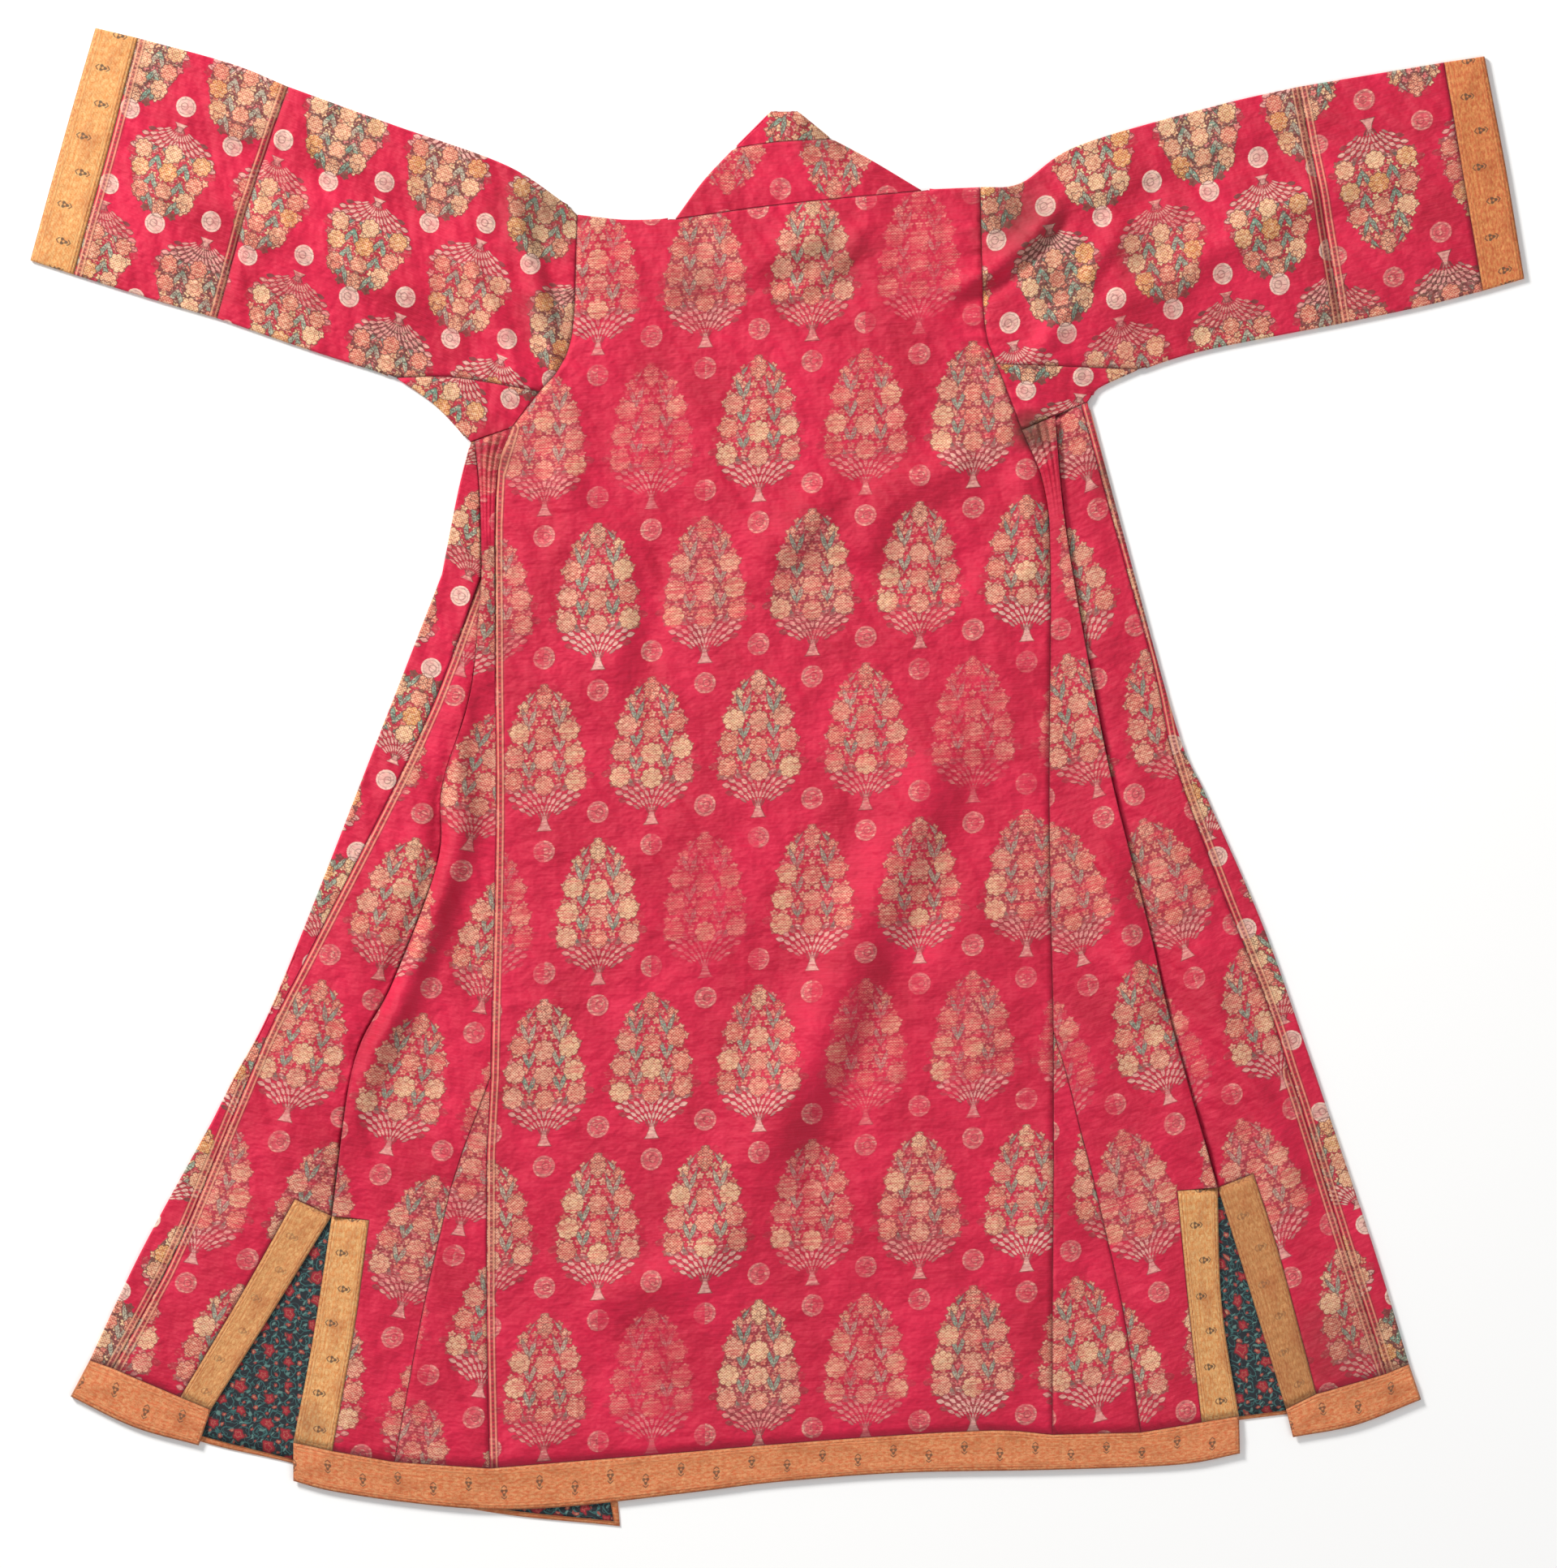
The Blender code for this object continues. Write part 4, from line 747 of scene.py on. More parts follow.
def band(name, colours):
    """Orange silk with fine lines along it and a row of small dark sprigs."""
    base, light, sprig_strength = colours
    cloth = Cloth(name)
    x, y = cloth.place()
    middle = BAND_WIDTH / 2
    fine = cloth.noise(x, y, 5.0, 2.2, 3.0, 3.0)
    broad = cloth.noise(x, y, 30.0, 14.0, 3.0, 4.0)

    # Woven lines: a vine with curls between two pairs of rails
    vine = abs(y - middle - x.wave(14.0) * 5.5) - 0.35
    curls = abs(distance(x.wrap(7.0), (y - middle).wrap(9.0)) - 2.6) - 0.3
    rails = least(abs(abs(y - middle) - 13.0), abs(abs(y - middle) - 15.6)) - 0.35

    # Sprigs, each a three-lobed flower between two leaves
    number = nearest(x, SPRIG_STEP)
    sprig_x = x - number * SPRIG_STEP
    sprig_y = y - middle + (odd(number) - 0.5) * 7.0
    reach = distance(sprig_x, sprig_y)
    flower = most(reach - lobes(sprig_x, sprig_y, 3.0) - 2.9, 1.0 - reach)
    leaves = most(abs(abs(sprig_y) + abs(sprig_x) * 0.8 - 6.0) - 0.6, abs(sprig_x) - 2.8)

    seam = cloth.attribute("seam")
    stitch = most(abs(seam - 3.2) - 0.45, abs(cloth.attribute("along").wrap(5.2)) - 1.4)
    colour = cloth.layers(
        base,
        (ramp(fine, 0.38, 0.62), light),
        (ramp(broad, 0.48, 0.72) * 0.5, BAND_PATCH),
        (within(least(vine, curls), 0.7) * 0.45, BAND_VINE),
        (within(rails, 0.7) * 0.5, BAND_RAIL),
        (within(least(flower, leaves), 0.9) * sprig_strength, BAND_SPRIG),
        # Painted shade along the seams
        (within(seam - 0.8, 1.6) * 0.5, BAND_SEAM_SHADE),
        (within(stitch, 0.5) * 0.45, BAND_STITCH),
        # Darkened patches: painted shade of folds and armpit hollows, mixed with soiling
        (ramp(cloth.attribute("painted_shade_and_soil") + broad * 0.5, 0.35, 1.1) * 0.6, BAND_PAINTED_SHADE_AND_SOIL))
    weave = x.wave(0.9) * 0.3 + y.wave(0.9) * 0.3 + fine * 0.7
    weave = weave + cloth.noise(x, y, 7.0, 40.0, 1.0, 5.0) * 5.0 + broad * 9.0
    height = weave - within(abs(seam - 3.2) - 0.8, 1.2) * 1.6
    return cloth.finish(colour, 0.55, height, 0.2, 0.2)


def leaf_rows(along, across, long, wide, step, gap):
    """Signed distance to lens-shaped leaves in staggered rows."""
    row = nearest(across, gap)
    beside = across - row * gap
    place = (along + odd(row) * (step / 2)).wrap(step)
    return abs(beside) + place * place * (wide / long ** 2) - wide


def printed_flowers(cloth, x, y, step, smallest, spread, seed):
    """Signed distance to round flowers of uneven size, one in each cell of a shaken grid."""
    column = nearest(x, step)
    shift = odd(column) * (step / 2)
    row = nearest(y + shift, step)
    u = x - column * step + (cloth.chance(column, row, seed) - 0.5) * (step * 0.35)
    v = y + shift - row * step
    size = cloth.chance(column, row, seed + 1.0) * spread + smallest
    return distance(u, v) - size + lobes(u, v, 5.0) * (smallest * 0.22)


def printed_lining(name):
    """Dark cotton printed with teal scrolls and red flowers."""
    cloth = Cloth(name)
    x, y = cloth.place()
    sway = cloth.noise(x, y, 11.0, 11.0, 1.0, 2.0) - 0.5
    px = x + sway * 9.0
    py = y - sway * 7.0
    large = printed_flowers(cloth, px, py, 24.0, 3.2, 3.4, 1.0)
    small = printed_flowers(cloth, px + 9.0, py + 5.0, 11.0, 1.1, 1.5, 3.0)
    vines = abs(cloth.noise(x, y, 8.0, 8.0, 1.0, 5.0) - 0.5) * 30.0 - 0.35
    scrolls = least(abs(distance(px.wrap(15.0), py.wrap(15.0)) - 5.2) - 0.35, vines)
    leaf = leaf_rows(px * 0.8 + py * 0.6, py * 0.8 - px * 0.6, 2.6, 1.0, 12.0, 9.5)
    colour = cloth.layers(
        PRINT_GROUND,
        (within(scrolls, 0.8) * 0.85, PRINT_SCROLL), (within(leaf, 0.8) * 0.8, PRINT_LEAF),
        (within(small, 0.8), PRINT_BUD), (within(small + 1.2, 0.6) * 0.7, PRINT_BUD_HEART),
        (within(large - 1.2, 0.8), PRINT_RIM), (within(large, 0.8), PRINT_RED),
        (within(abs(large + 2.6) - 0.5, 0.6) * 0.6, PRINT_RING))
    height = x.wave(0.8) * 0.3 + y.wave(0.8) * 0.3
    return cloth.finish(colour, 0.8, height, 0.12, 0.0)


# Which look each piece has, where its slot's own name doesn't say it
LOOKS = {
    "back_center": "brocade_back", "collar": "brocade_back", "collar_band": "brocade_tall",
    "side_back_left": "brocade_back", "side_back_right": "brocade_back",
    "side_front_left": "brocade_back", "side_front_right": "brocade_back",
    "gore_left": "brocade_back", "gore_right": "brocade_back",
    "sleeve_lower_right": "brocade_tall",
    "cuff_band_left": "band_cuff_left", "cuff_band_right": "band_cuff_right",
    "slit_band_outer_left": "band_slit_faded", "slit_band_inner_left": "band_slit",
    "slit_band_inner_right": "band_slit", "slit_band_outer_right": "band_slit_worn",
}


def make_materials():
    materials = {
        "brocade_back": brocade("brocade_back", BACK_PLANT),
        "brocade": brocade("brocade", SLEEVE_PLANT),
        "brocade_tall": brocade("brocade_tall", FRESH_BACK_PLANT),
        "lining": printed_lining("lining"),
    }
    for name, colours in BANDS.items():
        materials[name] = band(name, colours)
    return materials


def smooth_route(points, samples=24):
    """Points along a smooth curve through the given ones."""
    knots = [np.array(point, dtype=float) for point in points]
    if len(knots) == 2:
        return np.array([knots[0] + (knots[1] - knots[0]) * k / samples for k in range(samples + 1)])
    padded = [2 * knots[0] - knots[1]] + knots + [2 * knots[-1] - knots[-2]]
    curve = []
    for before, start, end, after in zip(padded, padded[1:], padded[2:], padded[3:]):
        for k in range(samples):
            t = k / samples
            curve.append(0.5 * (2 * start + (end - before) * t
                                + (2 * before - 5 * start + 4 * end - after) * t ** 2
                                + (3 * start - before - 3 * end + after) * t ** 3))
    curve.append(knots[-1])
    return np.array(curve)


def even_points(curve, steps, from_point):
    """The curve cut into equal steps, after a first short one where a point starts it."""
    lengths = np.concatenate([[0.0], np.cumsum(np.linalg.norm(np.diff(curve, axis=0), axis=1))])
    if from_point:
        stations = np.concatenate([[0.0], np.linspace(APEX_STEP, lengths[-1], steps)])
    else:
        stations = np.linspace(0.0, lengths[-1], steps + 1)
    return np.column_stack([np.interp(stations, lengths, curve[:, axis]) for axis in (0, 1)])


ROUTES = {}
for seam_name, seam_steps, seam_route in SEAMS + UNDER_SEAMS:
    ROUTES[seam_name] = even_points(smooth_route(seam_route), seam_steps * DENSE,
                                    seam_name in POINTED)


def straight(start, end, steps):
    return np.array([start + (end - start) * k / steps for k in range(steps + 1)])


def add_worked_out_routes():
    """Edges that take their points from the seams beside them."""
    seam_x = np.concatenate([ROUTES[name][(1 if index else 0):, 0]
                             for index, name in enumerate(HEM_SEAMS)])
    edge = smooth_route(HEM_EDGE)
    seam_x[0] = edge[0, 0]
    seam_x[-1] = edge[-1, 0]
    ROUTES["hem_edge"] = np.column_stack([seam_x, np.interp(seam_x, edge[:, 0], edge[:, 1])])
    for side in SIDES:
        armhole = ROUTES["armhole_" + side]
        band = ROUTES["band_seam_" + side]
        ROUTES["armhole_start_" + side] = armhole[:DENSE + 1]
        ROUTES["armhole_rest_" + side] = armhole[DENSE:]
        ends = (armhole[DENSE], band[0]) if side == "left" else (band[0], armhole[DENSE])
        ROUTES["strip_foot_" + side] = straight(*ends, STRIP_STEPS[side] * DENSE)
        ROUTES["front_top_" + side] = straight(*ends, UNDER_COLUMNS * DENSE)


add_worked_out_routes()


def distance_to(route, points):
    """Plan distance of each point to a route, and how far along it the nearest place is, 0 to 1."""
    nearest = np.full(len(points), 1e9)
    along = np.zeros(len(points))
    count = len(route) - 1
    for index, (start, end) in enumerate(zip(route, route[1:])):
        run = end - start
        t = np.clip(((points - start) @ run) / (run @ run), 0.0, 1.0)
        gap = np.linalg.norm(points - start - t[:, None] * run, axis=1)
        closer = gap < nearest
        nearest[closer] = gap[closer]
        along[closer] = (index + t[closer]) / count
    return nearest, along


def ease(value):
    """0 to 1, level at both ends."""
    value = np.clip(value, 0.0, 1.0)
    return value * value * (3 - 2 * value)


# Edges where the upper layer comes down to its lowest level
EDGE_PAIRS = ["outline", "outline_slit", "outline_hem", "collar_tip", "collar_fold", "shoulder",
              "slit_edge_outer", "slit_edge_inner", "front_hem_edge", "gusset_fold",
              "sleeve_top", "sleeve_under", "forearm_top", "forearm_under", "cuff_top",
              "cuff_under", "cuff_edge"]
EDGE_NAMES = ["outline_high_left", "hem_edge", "collar_tip"]
EDGE_NAMES += [f"{edge}_{side}" for edge in EDGE_PAIRS for side in SIDES]


def lattice_noise(points, size, seed):
    """Smooth noise from -1 to 1 over the plan, with features of the given size."""
    values = np.random.default_rng(seed).uniform(-1.0, 1.0, (256, 256))
    place = points / size + 64.0
    cell = np.floor(place).astype(int)
    within = ease(place - cell)
    corner = [[values[(cell[:, 0] + i) % 256, (cell[:, 1] + j) % 256] for j in (0, 1)]
              for i in (0, 1)]
    low = corner[0][0] * (1 - within[:, 0]) + corner[1][0] * within[:, 0]
    high = corner[0][1] * (1 - within[:, 0]) + corner[1][1] * within[:, 0]
    return low * (1 - within[:, 1]) + high * within[:, 1]


def turned(points, degrees, stretch):
    """The plan turned, and squeezed along its second axis, for noise that runs one way."""
    angle = math.radians(degrees)
    across = points[:, 0] * math.cos(angle) + points[:, 1] * math.sin(angle)
    along = -points[:, 0] * math.sin(angle) + points[:, 1] * math.cos(angle)
    return np.column_stack([across, along / stretch])


# Seams that pucker the cloth beside them. Columns: names, height, wave length
PUCKERS = [
    (["back_seam_left", "back_low_left"], 0.9, 21.0),
    (["back_seam_right", "back_low_right"], 0.9, 19.0),
    (["back_hem_left"], 0.7, 24.0), (["back_hem_right"], 0.7, 22.0),
    (["armhole_left", "armhole_low_left"], 1.2, 17.0),
    (["armhole_right", "armhole_low_right"], 1.2, 16.0),
    (["gusset_seam_left"], 0.9, 14.0), (["gusset_seam_right"], 0.9, 15.0),
    (["neck"], 0.8, 18.0), (["piece_seam_left"], 0.6, 20.0), (["piece_seam_right"], 0.7, 18.0),
    (["front_seam_left"], 0.8, 20.0), (["front_seam_right"], 0.9, 18.0),
    (["gore_left", "gore_hem_left"], 0.7, 22.0), (["gore_right", "gore_hem_right"], 0.8, 20.0),
    (HEM_SEAMS, 0.25, 34.0),
]
PUCKER_REACH = 16.0


PUCKER_DIP = 5.0           # half width of the dip along the seam itself

# Slack in the cloth all over. Columns: height, turn in degrees, stretch, size, seed
SLACK = [(1.6, -24, 2.2, 70.0, 3), (0.7, -10, 3.0, 26.0, 4)]


def lift(points):
    """How far the upper layer stands above its lowest level, from the rise and the folds."""
    edge = np.full(len(points), 1e9)
    for edge_name in EDGE_NAMES:
        edge = np.minimum(edge, distance_to(ROUTES[edge_name][::DENSE], points)[0])
    inside = ease(edge / EDGE_REACH)
    height = BODY_RISE * inside
    for slack, degrees, stretch, size, seed in SLACK:
        height += slack * inside * lattice_noise(turned(points, degrees, stretch), size, seed)
    for peak, half_width, route in FOLDS:
        gap, along = distance_to(smooth_route(route, 6), points)
        taper = ease(along * 4) * ease((1 - along) * 4)
        height += peak * np.exp(-(gap / half_width) ** 2) * taper * inside
    for seam_names, peak, wave_length in PUCKERS:
        route = np.concatenate([ROUTES[name][::DENSE] for name in seam_names])
        keep = np.concatenate([[True], np.linalg.norm(np.diff(route, axis=0), axis=1) > 1e-6])
        route = route[keep]
        gap, along = distance_to(route, points)
        length = np.linalg.norm(np.diff(route, axis=0), axis=1).sum()
        phase = 2 * math.pi * along * length / wave_length + 3 * lattice_noise(points, 60.0, 5)
        ripple = peak * np.sin(phase) * np.exp(-(gap / PUCKER_REACH) ** 2)
        dip = 0.6 * peak * np.exp(-(gap / PUCKER_DIP) ** 2)
        height += (ripple - dip) * ease(edge / 12.0)
    return np.maximum(height, 0.0) + 0.15 * inside


def side_points(names):
    """Points of a side made of one or more seams, and the inset of each of its steps."""
    points = []
    insets = []
    for name in names:
        kind, _, seam_name = name.rpartition(":")
        if seam_name.startswith("-"):
            route = ROUTES[seam_name[1:]][::-1]
        else:
            route = ROUTES[seam_name]
        start = 1 if points else 0
        points.extend(route[start:])
        inset = TURN if kind == "fold" else SEAM_GAP / 2
        insets.extend([inset] * (len(route) - 1))
    return np.array(points), np.array(insets)


def inset_ring(ring, amounts):
    """The closed outline moved inwards, each side by its own amount."""
    moved = ring.copy()
    count = len(ring)
    for index in range(count):
        before = ring[index] - ring[index - 1]
        after = ring[(index + 1) % count] - ring[index]
        normals = []
        for run in (before, after):
            normals.append(np.array([run[1], -run[0]]) / np.linalg.norm(run))
        wanted = np.array([amounts[index - 1], amounts[index]])
        matrix = np.array(normals)
        if abs(np.linalg.det(matrix)) > 0.2:
            step = np.linalg.solve(matrix, wanted)
        else:
            step = (normals[0] * wanted[0] + normals[1] * wanted[1]) / 2
        limit = 4 * max(wanted.max(), 1e-6)
        length = np.linalg.norm(step)
        if length > limit:
            step *= limit / length
        moved[index] = ring[index] + step
    return moved


class Panel:
    """A grid of points between four sides, and the rows or columns where it turns under."""

    def __init__(self, name, left, right, top, bottom, level, pointed=False):
        self.left, left_inset = side_points(left)
        self.right, right_inset = side_points(right)
        self.bottom, bottom_inset = side_points(bottom)
        if pointed:
            self.left, left_inset = self.left[1:], left_inset[1:]
            self.right, right_inset = self.right[1:], right_inset[1:]
            fractions = np.linspace(0.0, 1.0, len(self.bottom))[:, None]
            self.top = self.left[0] + (self.right[0] - self.left[0]) * fractions
            top_inset = np.zeros(len(self.bottom) - 1)
        else:
            self.top, top_inset = side_points(top)
        rows, columns = len(self.left), len(self.top)
        if (len(self.right), len(self.bottom)) != (rows, columns):
            raise ValueError(f"sides differ: {left} {rows}, {right} {len(self.right)}, "
                             f"{top} {columns}, {bottom} {len(self.bottom)}")
        ring = np.concatenate([self.top[:-1], self.right[:-1], self.bottom[:0:-1], self.left[:0:-1]])
        amounts = np.concatenate([top_inset, right_inset, bottom_inset[::-1], left_inset[::-1]])
        ring = inset_ring(ring, amounts)
        self.top = ring[:columns]
        self.right = ring[columns - 1:columns + rows - 1]
        self.bottom = ring[columns + rows - 2:2 * columns + rows - 2][::-1]
        self.left = np.concatenate([ring[2 * columns + rows - 3:], ring[:1]])[::-1]
        self.seams = [name for name in left + right + (top or []) + bottom
                      if not name.startswith("fold:")]
        self.insets = {"left": left_inset, "right": right_inset, "top": top_inset,
                       "bottom": bottom_inset}
        self.grid = self.fill(name, rows, columns, level)

    def fill(self, name, rows, columns, level):
        gathers = GATHERS.get(name) if level == UPPER_LEVEL else None
        u = np.linspace(0.0, 1.0, columns)[None, :, None]
        v = np.linspace(0.0, 1.0, rows)[:, None, None]
        across = self.left[:, None] * (1 - u) + self.right[:, None] * u
        down = self.top[None] * (1 - v) + self.bottom[None] * v
        corners = ((self.top[0] * (1 - u) + self.top[-1] * u) * (1 - v)
                   + (self.bottom[0] * (1 - u) + self.bottom[-1] * u) * v)
        plan = (across + down - corners).reshape(-1, 2)
        height = np.full(len(plan), level)
        if level == UPPER_LEVEL:
            height = height + lift(plan)
        if level == UPPER_LEVEL and name in OVERLAPS:
            seam_names, step, reach = OVERLAPS[name]
            height = height + step * np.exp(-(seam_distance(plan, seam_names)[0] / reach) ** 2)
            height = np.maximum(height, level)
        if gathers:
            waves, wave_height, length = gathers
            along = np.tile(np.linspace(0.0, 1.0, columns), rows)
            from_top = np.repeat(np.linalg.norm(self.left - self.left[0], axis=1), columns)
            wave = (0.5 - 0.5 * np.cos(2 * math.pi * waves * along)) * np.sin(math.pi * along)
            height += wave_height * wave * (1 - ease(from_top / length))
        return np.column_stack([plan, height]).reshape(rows, columns, 3)

    def folded_edges(self, side):
        """Each stretch of a side that turns under: its grid points, and their inner neighbours."""
        edge, inner = {"left": (self.grid[:, 0], self.grid[:, 1]),
                       "right": (self.grid[:, -1], self.grid[:, -2]),
                       "top": (self.grid[0], self.grid[1]),
                       "bottom": (self.grid[-1], self.grid[-2])}[side]
        stretches = []
        for step in np.nonzero(self.insets[side] == TURN)[0]:
            if stretches and stretches[-1][1] == step:
                stretches[-1][1] = step + 1
            else:
                stretches.append([step, step + 1])
        return [(edge[first:last + 1], inner[first:last + 1]) for first, last in stretches]


def turn_grid(upper, lower, outward_hint):
    """The half round cloth between the two layers at an outer fold."""
    upper_edge, upper_inner = upper
    lower_edge, _ = lower
    middle = (upper_edge + lower_edge) / 2
    half = (upper_edge - lower_edge) / 2
    run = np.gradient(middle[:, :2], axis=0)
    outward = np.column_stack([run[:, 1], -run[:, 0]])
    outward /= np.linalg.norm(outward, axis=1)[:, None]
    if (outward[len(outward) // 2] @ np.array(outward_hint)) < 0:
        outward = -outward
    for end in (0, -1):
        # At its ends the fold runs out along the seam that it meets
        along = (upper_edge[end] - upper_inner[end])[:2]
        along /= np.linalg.norm(along)
        outward[end] = along / max(along @ outward[end], 0.35)
    columns = []
    for k in range(TURN_STEPS + 1):
        angle = math.pi * k / TURN_STEPS
        point = middle + half * math.cos(angle)
        point[:, :2] += outward * TURN * math.sin(angle)
        columns.append(point)
    return np.array(columns)


# How each brocade piece is cut. Columns: turn of the pattern in degrees, where in the plan the
# middle of one plant lies, how far the rows rise along the weft, and how tall the weave is beaten
CUT_FROM = {
    "back_center": (0, (-18.4, 346.4), 0.066, 1.0),
    "collar": (176, (60.0, 636.0), 0.0, 1.0),
    "collar_band": (150, (34.0, 668.0), 0.0, 1.0),
    "side_back_left": (-15, (-366.0, -299.0), 0.066, 1.0),
    "side_front_left": (-15, (-465.8, -266.4), 0.066, 1.0),
    "gore_left": (-12, (-279.0, -537.0), 0.066, 1.0),
    "front_left": (-22, (-360.6, 59.0), 0.0, 1.0),
    "side_back_right": (13, (370.0, -248.0), 0.066, 1.0),
    "side_front_right": (18, (478.0, -235.0), 0.066, 1.0),
    "gore_right": (10, (305.0, -560.0), 0.066, 1.0),
    "front_right": (22, (408.8, -16.8), 0.0, 1.0),
    "sleeve_upper_left": (163, (-406.0, 523.4), -0.094, 1.0),
    "sleeve_lower_left": (165, (-599.0, 596.4), -0.094, 1.0),
    "gusset_left": (150, (-330.0, 365.0), -0.094, 1.0),
    "sleeve_upper_right": (189.5, (485.4, 541.3), 0.061, 1.07),
    "sleeve_lower_right": (189.6, (592.8, 580.2), 0.061, 0.93),
    "gusset_right": (170, (290.0, 330.0), 0.061, 1.0),
}
# Pieces whose pattern runs along their columns, not their rows
BANDS_DOWN = ("cuff", "slit", "front_band")

# Seams cut along the selvedge, whose lines show on the piece beside them
SELVEDGES = {
    "sleeve_lower_left": ["piece_seam_left", "cuff_seam_left"],
    "sleeve_upper_right": ["piece_seam_right"],
    "sleeve_lower_right": ["piece_seam_right"],
    "back_center": ["back_seam_left", "back_low_left", "back_slit_left", "back_hem_left"],
    "side_front_left": ["front_seam_left", "front_slit_seam_left", "front_hem_seam_left"],
    "front_left": ["front_slit_seam_left", "front_hem_seam_left"],
    "side_front_right": ["front_slit_seam_right", "front_hem_seam_right"],
    "front_right": ["front_seam_right", "front_slit_seam_right", "front_hem_seam_right"],
}


def cloth_map(name, cloth, grid):
    """The pattern's place at each point of a grid: across it and up it, in millimetres."""
    if cloth == "band_silk":
        down = np.cumsum(np.linalg.norm(np.diff(grid, axis=0, prepend=grid[:1]), axis=2), axis=0)
        across = np.cumsum(np.linalg.norm(np.diff(grid, axis=1, prepend=grid[:, :1]), axis=2), axis=1)
        rows, columns = grid.shape[:2]
        if name.startswith(BANDS_DOWN):
            along = down[:, columns // 2][:, None].repeat(columns, 1)
            side = np.linspace(0.0, BAND_WIDTH, columns)[None].repeat(rows, 0)
        else:
            along = across[rows // 2][None].repeat(rows, 0)
            side = np.linspace(0.0, BAND_WIDTH, rows)[:, None].repeat(columns, 1)
        return np.stack([along, side], axis=2)
    degrees, middle, rise, beat = CUT_FROM.get(name, (0, (0.0, 0.0), 0.0, 1.0))
    angle = math.radians(degrees)
    place = grid[:, :, :2] - np.array(middle)
    across = place[:, :, 0] * math.cos(angle) + place[:, :, 1] * math.sin(angle)
    up = -place[:, :, 0] * math.sin(angle) + place[:, :, 1] * math.cos(angle)
    return np.stack([across, (up - rise * across) / beat], axis=2)


def seam_distance(plan, seam_names):
    """Distance of each point to the nearest of some seams, and how far along it that is."""
    gap = np.full(len(plan), 1000.0)
    along = np.zeros(len(plan))
    for seam_name in seam_names:
        route = ROUTES[seam_name.lstrip("-")][::DENSE]
        length = np.linalg.norm(np.diff(route, axis=0), axis=1).sum()
        seam_gap, seam_along = distance_to(route, plan)
        closer = seam_gap < gap
        gap[closer] = seam_gap[closer]
        along[closer] = seam_along[closer] * length
    return gap, along


# Painted shade of folds and armpit hollows, mixed with soiling, at the shoulders, the armpits and on
# the bands. Columns: middle, radius, strength
SHADE_AND_SOIL_PATCHES = [
    ((-234, 557), 44, 0.62), ((-229, 458), 30, 0.45), ((-277, 322), 34, 0.45),
    ((236, 550), 44, 0.62), ((274, 482), 30, 0.40), ((359, 508), 30, 0.35),
    ((250, 342), 20, 1.10), ((57, 510), 36, 0.45), ((-86, 488), 34, 0.42), ((46, 634), 34, 0.45),
    ((-457, -639), 24, 0.55), ((548, -560), 60, 0.40), ((330, 300), 26, 0.45),
]


def add_marks(name, mesh, seam_names):
    """Where the seams, the selvedges and the patches of painted shade and soiling are, on the mesh's
    points.
    """
    place = np.zeros(len(mesh.vertices) * 3)
    mesh.vertices.foreach_get("co", place)
    plan = place.reshape(-1, 3)[:, :2] / MM
    gap, along = seam_distance(plan, seam_names)
    selvedge_gap, _ = seam_distance(plan, SELVEDGES.get(name, []))
    painted_shade_and_soil = np.zeros(len(plan))
    for middle, radius, strength in SHADE_AND_SOIL_PATCHES:
        reach = np.linalg.norm(plan - np.array(middle), axis=1) / radius
        painted_shade_and_soil = np.maximum(painted_shade_and_soil, strength * np.exp(-reach ** 2))
    marks = {"seam": gap, "along": along, "selvedge": selvedge_gap, "painted_shade_and_soil": painted_shade_and_soil}
    for mark, values in marks.items():
        kept = mesh.attributes.new(mark, "FLOAT", "POINT")
        kept.data.foreach_set("value", values.astype(np.float32))


def run_length(grid, axis):
    """Longest row (axis 1) or column (axis 0) of a grid, along the cloth."""
    return np.linalg.norm(np.diff(grid, axis=axis), axis=2).sum(axis=axis).max()


def cloth_area(grid):
    """Area of a grid's cloth, in square millimetres."""
    first = grid[1:, 1:] - grid[:-1, :-1]
    second = grid[1:, :-1] - grid[:-1, 1:]
    return np.linalg.norm(np.cross(first, second), axis=2).sum() / 2


def flat_cut(layers, turns, turned_side):
    """Width, length and area of a piece's cloth, its layers side by side along the way it turns."""
    wide = [run_length(layer, 1) for layer in layers]
    long = [run_length(layer, 0) for layer in layers]
    turn_length = math.pi * TURN * len(turns)
    if turned_side in SIDES:
        size = (sum(wide) + turn_length, max(long))
    else:
        size = (max(wide), sum(long) + turn_length)
    area = sum(cloth_area(grid) for grid in layers + turns)
    return size[0] * MM, size[1] * MM, min(area * MM * MM, size[0] * size[1] * MM * MM)


